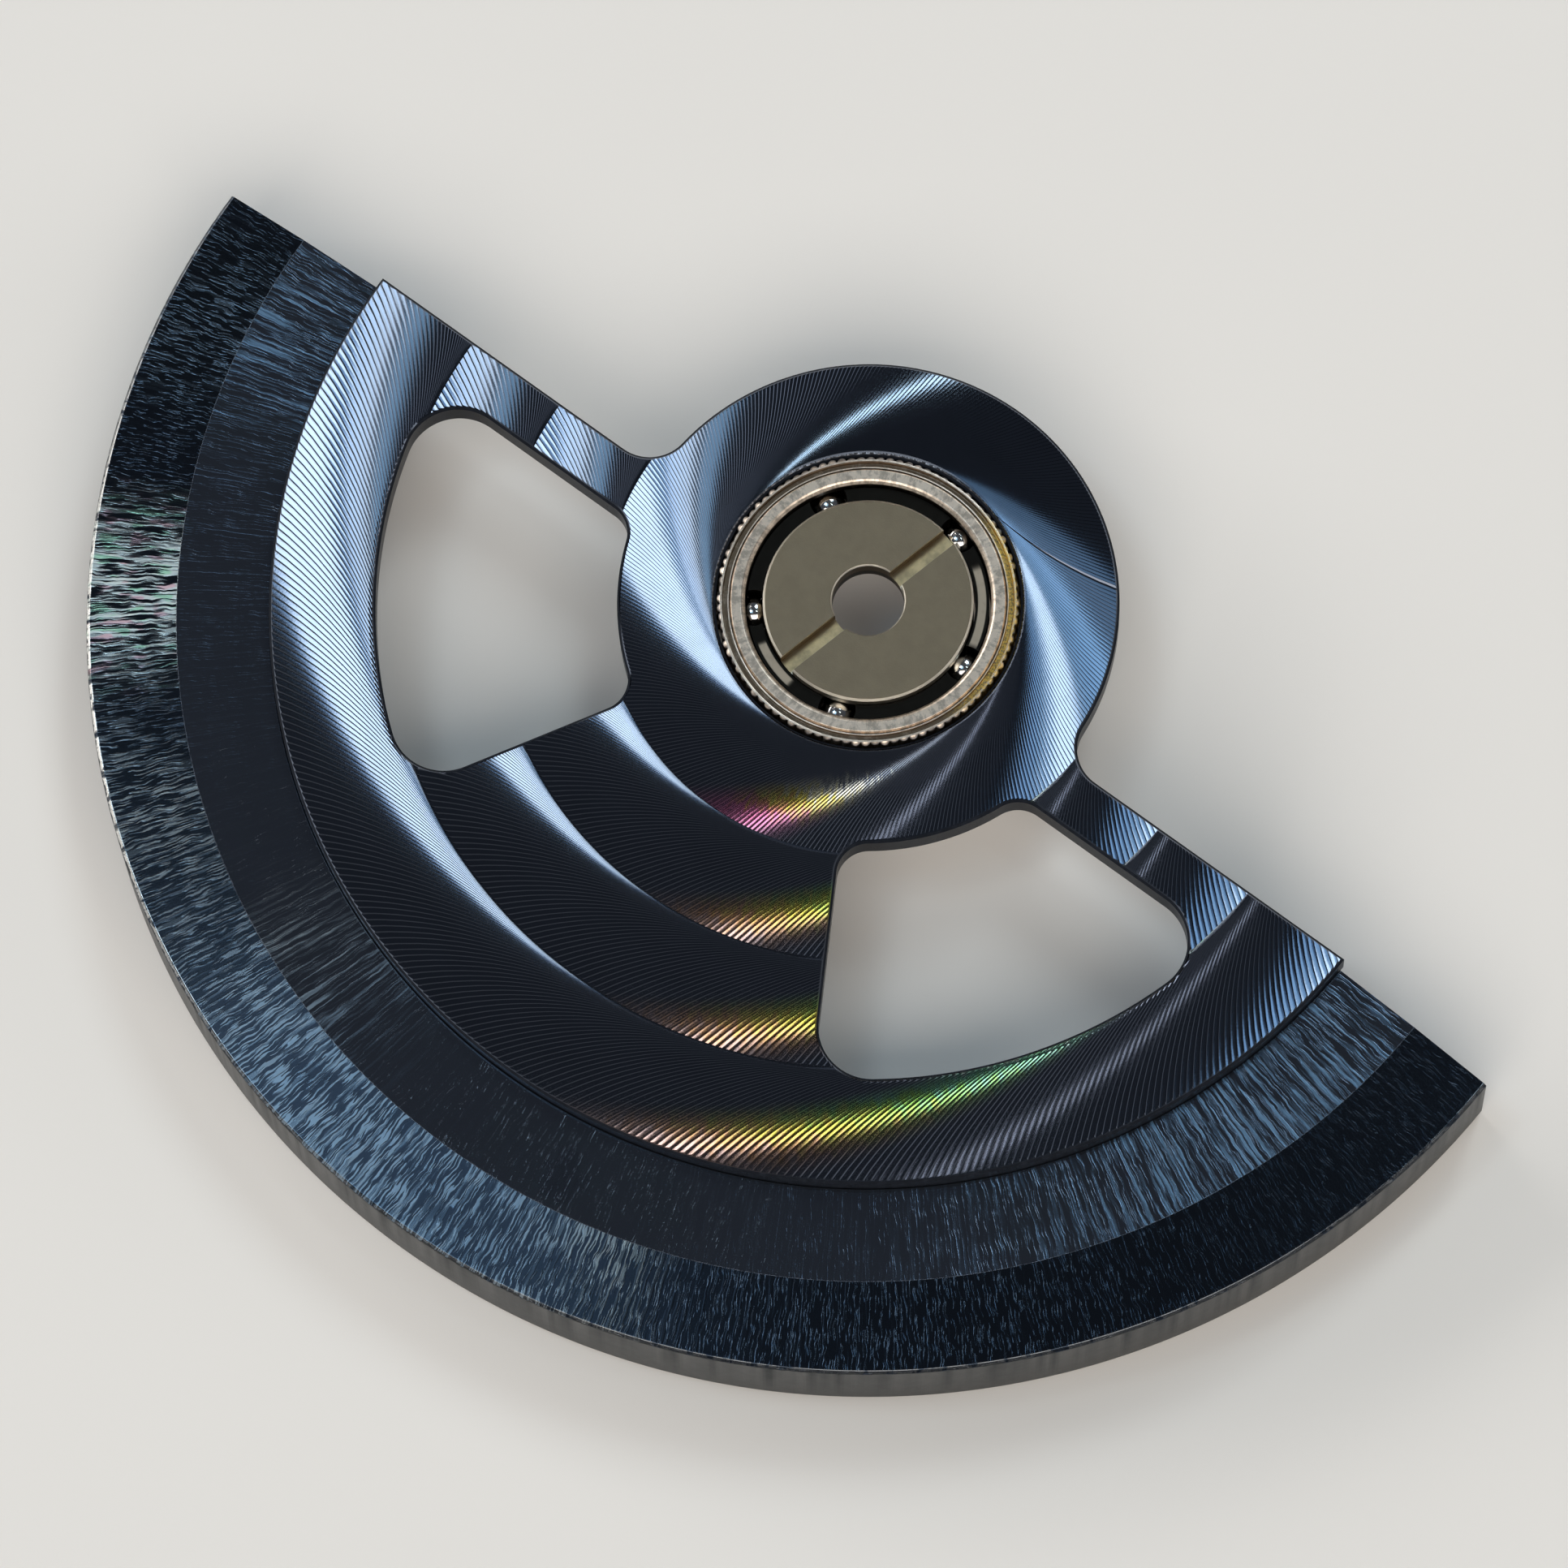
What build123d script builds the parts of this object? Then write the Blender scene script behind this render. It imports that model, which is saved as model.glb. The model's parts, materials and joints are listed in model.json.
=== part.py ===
from build123d import *
from math import cos, radians, sin
import os

# Automatic watch rotor: a half-moon weight on a windowed plate, carried by a five-ball bearing.
# Units are millimetres. +Z is up, away from the movement. The bearing axis is Z, and z = 0 is the
# face of the bearing core that seats on the movement's post. The weight lies towards -Y.

# Heavy segment: a half ring with a flat inner band and a sloping outer rim
rotor_radius = 12.5
weight_face_width = 2.95
weight_ledge_width = 1.25
weight_half_span_degrees = 87.7
weight_rim_height = 1.7
weight_rim_width = 1.45
weight_rim_fall = 0.12
weight_drop = 0.6
weight_edge_break = 0.05
weight_foot_width = 0.05
weight_foot_height = 0.1

# Web plate: a hub disc, two arms and a spoke, with a window each side of the spoke
plate_thickness = 0.5
plate_stand = 0.33
plate_rim_width = 1.7
plate_chord_drop = 0.27
plate_arm_width = 0.88
plate_edge_break = 0.06
hub_radius = 4.0
hub_fillet = 0.7
window_outer_fillet = 0.85
window_inner_fillet = 0.52
spoke_half_angle_degrees = 30.3

# Ball bearing: five balls between a V-grooved outer race and a core that is split at the ball plane
ball_count = 5
ball_radius = 0.28
ball_first_angle_degrees = 3.0
race_height = 1.0
race_outer_radius = 2.21
race_floor_width = 0.09
race_lip_width = 0.25
race_bevel = 0.06
race_contact_degrees = 45.0
bearing_stand = 0.05

# Bearing core: a slotted head on a hollow stem, and a lower cone pressed on the stem
head_track_width = 0.14
head_floor = 0.45
head_edge_break = 0.04
cone_neck_width = 0.34
stem_wall = 0.25
tool_hole_step = 0.37
tool_hole_bevel = 0.05
slot_width = 0.29
slot_depth = 0.22
slot_angle_degrees = 76.0

# Ball cage: a base ring under the balls, with a prong between each ball and the next
cage_base_height = 0.12
cage_sink = 0.15

# Knurled collar: holds the outer race, grips the plate's bore and carries the gear below the plate
knurl_count = 96
collar_boss_width = 0.2
knurl_depth = 0.09
collar_flange_width = 0.18
collar_flange_height = 0.2
collar_sleeve_width = 0.28
collar_shoulder_width = 0.14
collar_shoulder_height = 0.2
collar_bevel = 0.05

# Drive gear: meshes with the winding train
gear_teeth = 48
gear_rim_width = 0.37
gear_width = 0.4
gear_root_play = 0.03

# Clearances
seat_gap = 0.01
roll_gap = 0.01
cage_gap = 0.03
pocket_gap = 0.02
overrun = 1.0

# Heights that follow from the sizes above
weight_bottom_z = -weight_drop
rim_top_z = weight_bottom_z + weight_rim_height
band_top_z = rim_top_z + weight_rim_fall
plate_top_z = band_top_z + plate_stand
plate_bottom_z = plate_top_z - plate_thickness
bearing_top_z = plate_top_z + bearing_stand
ball_z = bearing_top_z - race_height / 2
race_bottom_z = bearing_top_z - race_height
socket_top_z = bearing_top_z - head_floor
flange_bottom_z = plate_bottom_z - collar_flange_height
collar_bottom_z = race_bottom_z - collar_shoulder_height

# Radii that follow from the sizes above
plate_radius = rotor_radius - weight_face_width
window_outer_radius = plate_radius - plate_rim_width
track_radius = ball_radius + roll_gap
race_lip_radius = race_outer_radius - race_lip_width
ball_pitch_radius = race_outer_radius - race_floor_width - track_radius
neck_radius = ball_pitch_radius - track_radius
head_radius = neck_radius + head_track_width
stem_radius = neck_radius - cone_neck_width
socket_radius = stem_radius - stem_wall
tool_hole_radius = socket_radius - tool_hole_step
collar_bore_radius = race_outer_radius + seat_gap
collar_shoulder_radius = collar_bore_radius - collar_shoulder_width
collar_sleeve_radius = collar_bore_radius + collar_sleeve_width
collar_flange_radius = collar_sleeve_radius + collar_flange_width
knurl_tip_radius = collar_bore_radius + collar_boss_width
plate_bore_radius = knurl_tip_radius + seat_gap
gear_bore_radius = collar_sleeve_radius + seat_gap
gear_pitch_radius = gear_bore_radius + gear_rim_width
gear_module = 2 * gear_pitch_radius / gear_teeth
gear_tip_radius = gear_pitch_radius + gear_module
gear_root_radius = gear_pitch_radius - gear_module - gear_root_play

# One gear tooth as (share of the pitch angle, share of the tooth height), left to right
gear_tooth_shares = [(-0.28, 0.0), (-0.19, 0.65), (0.0, 1.0), (0.19, 0.65), (0.28, 0.0)]


def polar(radius, degrees):
    """Return the point at a radius and an angle from +X."""
    return radius * cos(radians(degrees)), radius * sin(radians(degrees))


def turned(points, arc_degrees=360):
    """Revolve a closed profile of (radius, height) points about Z, from +X towards +Y."""
    profile = make_face(Plane.XZ * Polyline(*points, close=True))
    return revolve(profile, axis=Axis.Z, revolution_arc=arc_degrees)


def disc(radius, bottom_z, top_z):
    """Return a solid cylinder on the bearing axis."""
    return extrude(Plane.XY.offset(bottom_z) * Circle(radius), top_z - bottom_z)


def track_height(radius):
    """Return how far above the ball plane the raceway's cone lies at a radius."""
    offset = abs(radius - ball_pitch_radius)
    contact = radians(race_contact_degrees)
    return (track_radius - offset * cos(contact)) / sin(contact)


def ball_places():
    """Return the angle of each ball."""
    return [ball_first_angle_degrees + 360 * n / ball_count for n in range(ball_count)]


def make_heavy_segment():
    """Half ring: a ledge under the plate, a flat band, a sloping rim and a bevelled foot."""
    band_radius = rotor_radius - weight_rim_width
    step_radius = plate_radius + seat_gap
    ledge_radius = plate_radius - weight_ledge_width
    profile = [
        (ledge_radius, weight_bottom_z),
        (rotor_radius - weight_foot_width, weight_bottom_z),
        (rotor_radius, weight_bottom_z + weight_foot_height),
        (rotor_radius, rim_top_z - weight_edge_break),
        (rotor_radius - weight_edge_break, rim_top_z),
        (band_radius, band_top_z),
        (step_radius, band_top_z),
        (step_radius, plate_bottom_z),
        (ledge_radius, plate_bottom_z),
    ]
    half_ring = turned(profile, 2 * weight_half_span_degrees)
    return Rot(0, 0, -90 - weight_half_span_degrees) * half_ring


def below(level_y):
    """Return a sketch of everything inside the rotor's reach that lies below a level in Y."""
    reach = rotor_radius + overrun
    return Pos(0, level_y) * Rectangle(2 * reach, reach, align=(Align.CENTER, Align.MAX))


def window_sketch():
    """Return the +X window: hub arc, arm edge, rim arc and spoke edge, with rounded corners."""
    reach = window_outer_radius + overrun
    spoke_edge = polar(2 * reach, -90 + spoke_half_angle_degrees)
    beside_spoke = make_face(Polyline((0, 0), spoke_edge, (2 * reach, 0), close=True))
    arm_edge_y = -plate_chord_drop - plate_arm_width
    ring = Circle(window_outer_radius) - Circle(hub_radius)
    window = ring & below(arm_edge_y) & beside_spoke
    middle_radius = (window_outer_radius + hub_radius) / 2
    outer_corners = window.vertices().filter_by(lambda v: Vector(v).length > middle_radius)
    window = fillet(outer_corners, window_outer_fillet)
    inner_corners = window.vertices().sort_by(lambda v: Vector(v).length)[:2]
    return fillet(inner_corners, window_inner_fillet)


def make_web_plate():
    """Half disc with a full hub, two windows and the bore that the collar is pressed into."""
    outline = (Circle(plate_radius) & below(-plate_chord_drop)) + Circle(hub_radius)
    arm_middle = (plate_radius + hub_radius) / 2
    hub_corners = outline.vertices().filter_by(lambda v: hub_radius / 2 < abs(v.X) < arm_middle)
    outline = fillet(hub_corners, hub_fillet)
    window = window_sketch()
    outline = outline - window - mirror(window, about=Plane.YZ) - Circle(plate_bore_radius)
    plate = extrude(Plane.XY.offset(plate_bottom_z) * outline, plate_thickness)
    top_edges = plate.faces().sort_by(Axis.Z)[-1].edges()
    return chamfer(top_edges, plate_edge_break)


def make_knurled_collar():
    """Knurled boss in the plate's bore, a flange under the plate and a sleeve for the gear."""
    step = 360 / knurl_count
    root_radius = knurl_tip_radius - knurl_depth
    teeth = []
    for n in range(knurl_count):
        teeth += [polar(root_radius, n * step), polar(knurl_tip_radius, (n + 0.5) * step)]
    knurl = make_face(Plane.XY.offset(plate_bottom_z) * Polyline(*teeth, close=True))
    boss = extrude(knurl, bearing_top_z - plate_bottom_z)
    flange = disc(collar_flange_radius, flange_bottom_z, plate_bottom_z)
    sleeve = disc(collar_sleeve_radius, collar_bottom_z, flange_bottom_z)
    bevel_radius = collar_bore_radius + collar_bevel
    bore = turned([
        (0, race_bottom_z),
        (collar_bore_radius, race_bottom_z),
        (collar_bore_radius, bearing_top_z - collar_bevel),
        (bevel_radius, bearing_top_z),
        (bevel_radius, bearing_top_z + overrun),
        (0, bearing_top_z + overrun),
    ])
    mouth = disc(collar_shoulder_radius, collar_bottom_z - overrun, race_bottom_z)
    return boss + flange + sleeve - bore - mouth


def make_outer_race():
    """Ring with a V groove in its bore, seated on the collar's shoulder."""
    groove_floor_radius = ball_pitch_radius + track_radius
    floor_height = track_height(groove_floor_radius)
    lip_height = track_height(race_lip_radius)
    return turned([
        (race_lip_radius, race_bottom_z),
        (race_outer_radius, race_bottom_z),
        (race_outer_radius, bearing_top_z - race_bevel),
        (race_outer_radius - race_bevel, bearing_top_z),
        (race_lip_radius + race_bevel, bearing_top_z),
        (race_lip_radius, bearing_top_z - race_bevel),
        (race_lip_radius, ball_z + lip_height),
        (groove_floor_radius, ball_z + floor_height),
        (groove_floor_radius, ball_z - floor_height),
        (race_lip_radius, ball_z - lip_height),
    ])


def make_drive_gear():
    """Toothed wheel pressed on the collar's sleeve, against its flange."""
    step = 360 / gear_teeth
    tooth_height = gear_tip_radius - gear_root_radius
    outline = [
        polar(gear_root_radius + tooth_height * height_share, (n + angle_share) * step)
        for n in range(gear_teeth)
        for angle_share, height_share in gear_tooth_shares
    ]
    blank = make_face(Plane.XY.offset(flange_bottom_z) * Polyline(*outline, close=True))
    bore = disc(gear_bore_radius, flange_bottom_z - gear_width - overrun, flange_bottom_z)
    return extrude(blank, -gear_width) - bore


def make_ball_cage():
    """Crown cage: a ring under the balls whose prongs rise between them."""
    inner_radius = head_radius + cage_gap
    outer_radius = race_lip_radius - cage_gap
    pocket_bottom_z = ball_z - ball_radius - pocket_gap
    cage_bottom_z = pocket_bottom_z - cage_base_height
    cage_top_z = bearing_top_z - cage_sink
    ring = disc(outer_radius, cage_bottom_z, cage_top_z)
    ring -= disc(inner_radius, cage_bottom_z - overrun, cage_top_z + overrun)
    pocket = Circle(ball_radius + pocket_gap)
    for angle in ball_places():
        x, y = polar(ball_pitch_radius, angle)
        ring -= extrude(Plane((x, y, pocket_bottom_z)) * pocket, cage_top_z - pocket_bottom_z + overrun)
    return ring


def make_ball(angle):
    """One bearing ball at its place on the pitch circle."""
    x, y = polar(ball_pitch_radius, angle)
    return Pos(x, y, ball_z) * Sphere(ball_radius)


def make_slotted_core():
    """Slotted head with the upper cone, on a hollow stem that takes the threaded post."""
    core = turned([
        (socket_radius, 0),
        (stem_radius, 0),
        (stem_radius, ball_z),
        (neck_radius, ball_z),
        (neck_radius, ball_z + track_height(neck_radius)),
        (head_radius, ball_z + track_height(head_radius)),
        (head_radius, bearing_top_z - head_edge_break),
        (head_radius - head_edge_break, bearing_top_z),
        (tool_hole_radius + tool_hole_bevel, bearing_top_z),
        (tool_hole_radius, bearing_top_z - tool_hole_bevel),
        (tool_hole_radius, socket_top_z),
        (socket_radius, socket_top_z),
    ])
    slot_floor = Plane.XY.offset(bearing_top_z - slot_depth)
    slot_length = 2 * (head_radius + overrun)
    slot = extrude(slot_floor * Rectangle(slot_length, slot_width), slot_depth + overrun)
    return core - Rot(0, 0, slot_angle_degrees) * slot


def make_lower_cone():
    """Ring pressed on the stem under the head, with the lower cone of the inner raceway."""
    return turned([
        (stem_radius + seat_gap, race_bottom_z),
        (head_radius, race_bottom_z),
        (head_radius, ball_z - track_height(head_radius)),
        (neck_radius, ball_z - track_height(neck_radius)),
        (neck_radius, ball_z),
        (stem_radius + seat_gap, ball_z),
    ])


def make_parts():
    """Return every sub-part under its node name."""
    parts = {
        "heavy_segment": make_heavy_segment(),
        "web_plate": make_web_plate(),
        "knurled_collar": make_knurled_collar(),
        "outer_race": make_outer_race(),
        "drive_gear": make_drive_gear(),
        "ball_cage": make_ball_cage(),
        "slotted_core": make_slotted_core(),
        "lower_cone": make_lower_cone(),
    }
    for number, angle in enumerate(ball_places(), start=1):
        parts[f"ball_{number}"] = make_ball(angle)
    return parts


os.makedirs("parts", exist_ok=True)
for node_name, solid in make_parts().items():
    export_step(solid, f"parts/{node_name}.step")
    print(f"{node_name}: {solid.volume:.4f} mm3")
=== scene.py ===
"""Automatic watch rotor: fine meshes, metal finishes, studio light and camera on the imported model.

Meshes are modelled in millimetres, in the model's own frame, and finished in metres.
"""

import json
import logging
import math
import random
from collections.abc import Callable, Sequence
from dataclasses import dataclass, field
from enum import Enum

import bmesh
import bpy
from mathutils import Matrix, Vector

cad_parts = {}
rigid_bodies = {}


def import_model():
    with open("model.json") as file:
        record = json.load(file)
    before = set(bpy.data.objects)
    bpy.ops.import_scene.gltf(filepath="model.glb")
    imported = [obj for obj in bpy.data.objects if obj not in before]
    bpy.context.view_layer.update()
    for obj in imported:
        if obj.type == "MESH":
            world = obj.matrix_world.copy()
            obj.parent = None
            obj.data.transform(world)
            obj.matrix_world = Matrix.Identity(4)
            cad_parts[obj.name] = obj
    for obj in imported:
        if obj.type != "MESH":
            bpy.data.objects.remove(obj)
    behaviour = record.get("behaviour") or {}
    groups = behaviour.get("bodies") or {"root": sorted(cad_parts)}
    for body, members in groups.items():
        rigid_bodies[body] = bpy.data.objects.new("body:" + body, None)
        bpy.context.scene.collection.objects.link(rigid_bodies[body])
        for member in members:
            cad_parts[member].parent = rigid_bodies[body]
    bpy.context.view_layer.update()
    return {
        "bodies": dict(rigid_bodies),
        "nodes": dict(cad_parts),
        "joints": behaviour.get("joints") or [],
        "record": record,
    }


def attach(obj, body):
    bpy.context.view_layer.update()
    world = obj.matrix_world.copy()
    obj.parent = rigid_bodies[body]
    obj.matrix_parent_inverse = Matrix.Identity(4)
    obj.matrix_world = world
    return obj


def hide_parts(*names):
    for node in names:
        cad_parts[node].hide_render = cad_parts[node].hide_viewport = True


LOG = logging.getLogger("watch_rotor")
METRES_PER_MM = 0.001
FULL_TURN = 2.0 * math.pi
IMAGE_SIDE = 1932

Point = tuple[float, float]
Colour = tuple[float, float, float]
# Stops of a colour ramp, as (place, colour), and hills over an angle, as (centre, half width, height)
Stops = tuple[tuple[float, Colour], ...]
Zones = tuple[tuple[float, float, float], ...]


# Shader building


def math_operator(operation: str, swapped: bool = False) -> Callable[["Value", object], "Value"]:
    """Make the method behind one of Python's operators.

    Args:
        operation: the Math node's operation.
        swapped: whether the value stands to the right of the operator.

    Returns:
        A method of Value that adds the node.
    """

    def method(self: "Value", other: object = 0.0) -> "Value":
        """Return the result of the operation on self and other."""
        left, right = (other, self) if swapped else (self, other)
        return self.finish.add("ShaderNodeMath", {"operation": operation}, {0: left, 1: right})

    return method


class Value:
    """A shader socket that Python's operators add Math nodes to."""

    __add__ = math_operator("ADD")
    __radd__ = math_operator("ADD", swapped=True)
    __sub__ = math_operator("SUBTRACT")
    __rsub__ = math_operator("SUBTRACT", swapped=True)
    __mul__ = math_operator("MULTIPLY")
    __truediv__ = math_operator("DIVIDE")
    __mod__ = math_operator("FLOORED_MODULO")
    __abs__ = math_operator("ABSOLUTE")

    def __init__(self, finish: "ShaderTree", socket: bpy.types.NodeSocket) -> None:
        """Hold the socket and the finish whose tree it belongs to."""
        self.finish = finish
        self.socket = socket

    def function(self, operation: str, other: object = 0.0) -> "Value":
        """Return another Math operation of self, such as SINE or ARCCOSINE."""
        return math_operator(operation)(self, other)

    def step(self, low: float, high: float) -> "Value":
        """Return a smooth rise from 0 to 1.

        Args:
            low: where the rise starts.
            high: where it ends; a fall where it is the smaller.

        Returns:
            The eased value.
        """
        first, last = (0.0, 1.0) if low < high else (1.0, 0.0)
        inputs = {0: self, 1: min(low, high), 2: max(low, high), 3: first, 4: last}
        return self.finish.add("ShaderNodeMapRange", {"interpolation_type": "SMOOTHSTEP"}, inputs)

    def over(self, limit: float, soft: float = 0.01) -> "Value":
        """Return 1 over a limit and 0 under it, softened on both sides of it."""
        return self.step(limit - soft, limit + soft)

    def under(self, limit: float, soft: float = 0.01) -> "Value":
        """Return 1 under a limit and 0 over it, softened on both sides of it."""
        return self.step(limit + soft, limit - soft)

    def bump(self, centre: float, half_width: float) -> "Value":
        """Return a smooth hill that is 1 at the centre and 0 from half a width away."""
        return abs(self - centre).step(half_width, 0.0)

    def zones(self, zones: Zones) -> "Value":
        """Sum smooth hills over an angle.

        Args:
            zones: each hill as (centre, half width, height), the first two in degrees.

        Returns:
            The sum.
        """
        hills = [self.bump(math.radians(centre), math.radians(half)) * height
                 for centre, half, height in zones]
        return sum(hills[1:], hills[0])


class ShaderTree:
    """A node tree that values and nodes are added to."""

    def __init__(self, tree: bpy.types.NodeTree) -> None:
        """Take over a node tree.

        Args:
            tree: the tree, which is emptied.
        """
        self.nodes = tree.nodes
        self.links = tree.links
        self.nodes.clear()

    def add(self, kind: str, settings: dict, inputs: dict, output: int | str = 0) -> Value:
        """Add one node.

        Args:
            kind: the node's type name.
            settings: properties to set first, where "stops" fills a colour ramp.
            inputs: values or links by socket name or number.
            output: the output to hand back.

        Returns:
            The chosen output as a value.
        """
        node = self.nodes.new(kind)
        for key, value in settings.items():
            if key == "stops":
                self._fill_ramp(node.color_ramp, value)
            else:
                setattr(node, key, value)
        for key, value in inputs.items():
            self.connect(node.inputs[key], value)
        return Value(self, node.outputs[output])

    def connect(self, socket: bpy.types.NodeSocket, value: object) -> None:
        """Link or set a socket.

        Args:
            socket: the input.
            value: a value to link, or the socket's own number, vector or colour.
        """
        if isinstance(value, Value):
            self.links.new(value.socket, socket)
        elif isinstance(value, tuple) and len(value) == 3 and socket.type == "RGBA":
            socket.default_value = (*value, 1.0)
        else:
            socket.default_value = value

    @staticmethod
    def _fill_ramp(ramp: bpy.types.ColorRamp, stops: Sequence[tuple[float, Colour]]) -> None:
        """Give a colour ramp its stops.

        Args:
            ramp: the ramp.
            stops: two or more of (place, colour).
        """
        while len(ramp.elements) < len(stops):
            ramp.elements.new(1.0)
        for element, (place, colour) in zip(ramp.elements, stops):
            element.position = place
            element.color = (*colour, 1.0)

    def parts(self, vector: Value) -> tuple[Value, Value, Value]:
        """Return x, y and z of a vector."""
        split = self.add("ShaderNodeSeparateXYZ", {}, {0: vector}).socket.node
        return tuple(Value(self, split.outputs[n]) for n in range(3))

    def mix(self, mask: object, low: object, high: object) -> Value:
        """Mix two colours.

        Args:
            mask: how much of the second colour there is.
            low: the first colour.
            high: the second colour.

        Returns:
            The mixed colour.
        """
        settings = {"data_type": "RGBA", "clamp_factor": True}
        node = self.add("ShaderNodeMix", settings, {}).socket.node
        for socket, value in zip((node.inputs[0], node.inputs[6], node.inputs[7]), (mask, low, high)):
            self.connect(socket, value)
        return Value(self, node.outputs[2])


class NodeFinish(ShaderTree):
    """A material under construction, with a Principled shader at its end."""

    def __init__(self, name: str) -> None:
        """Start an empty node material.

        Args:
            name: the material's name.
        """
        self.material = bpy.data.materials.new(name)
        self.material.use_nodes = True
        super().__init__(self.material.node_tree)
        self.shader = self.nodes.new("ShaderNodeBsdfPrincipled")
        output = self.nodes.new("ShaderNodeOutputMaterial")
        self.links.new(self.shader.outputs["BSDF"], output.inputs["Surface"])
        self._place: Value | None = None

    def principled(self, **inputs: object) -> None:
        """Set or link the shader's sockets, named with underscores for spaces."""
        for key, value in inputs.items():
            self.connect(self.shader.inputs[key.replace("_", " ").title().replace("Ior", "IOR")], value)

    @property
    def place(self) -> Value:
        """Find the point on the object, once.

        Returns:
            The point in millimetres, as a vector.
        """
        if self._place is None:
            coordinates = self.add("ShaderNodeTexCoord", {}, {}, "Object")
            inputs = {0: coordinates, 1: (1.0 / METRES_PER_MM,) * 3}
            self._place = self.add("ShaderNodeVectorMath", {"operation": "MULTIPLY"}, inputs)
        return self._place

    def polar(self) -> tuple[Value, Value, Value]:
        """Find the point on the object about the bearing axis.

        Returns:
            Radius in millimetres, angle in radians and height in millimetres.
        """
        x, y, z = self.parts(self.place)
        radius = (x * x + y * y).function("SQRT")
        return radius, y.function("ARCTAN2", x), z

    def noise(self, scale: float, detail: float, roughness: float, at: Value | None = None) -> Value:
        """Add fractal noise.

        Args:
            scale: how fine it is.
            detail: number of octaves.
            roughness: strength of the finer octaves.
            at: where to read it, the place on the object unless given.

        Returns:
            A value between about 0 and 1.
        """
        inputs = {"Vector": at or self.place, "Scale": scale, "Detail": detail, "Roughness": roughness}
        return self.add("ShaderNodeTexNoise", {}, inputs, "Fac")

    def stretched(self, x: object, y: object, z: object, detail: float, roughness: float = 0.5) -> Value:
        """Add noise over three values of the finish's own, so that it runs in streaks.

        Args:
            x: first value.
            y: second value.
            z: third value.
            detail: number of octaves.
            roughness: strength of the finer octaves.

        Returns:
            A value between about 0 and 1.
        """
        at = self.add("ShaderNodeCombineXYZ", {}, {0: x, 1: y, 2: z})
        return self.noise(1.0, detail, roughness, at)

    def relief(self, height: Value, distance_mm: float, strength: float) -> Value:
        """Add a bump.

        Args:
            height: a height between 0 and 1.
            distance_mm: the depth that 1 stands for.
            strength: how strong it is.

        Returns:
            The normal.
        """
        inputs = {"Height": height, "Distance": distance_mm * METRES_PER_MM, "Strength": strength}
        return self.add("ShaderNodeBump", {}, inputs)


def shaded(colour: Colour, share: float) -> Colour:
    """Return a colour made darker or lighter."""
    return tuple(part * share for part in colour)


# Mesh building


class Keep(Enum):
    """What is left of a shape where a second one meets it."""

    OUTSIDE = "DIFFERENCE"
    INSIDE = "INTERSECT"


class Solver(Enum):
    """How a cut is worked out: exactly, or faster for very many faces."""

    EXACT = "EXACT"
    MANIFOLD = "MANIFOLD"


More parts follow.
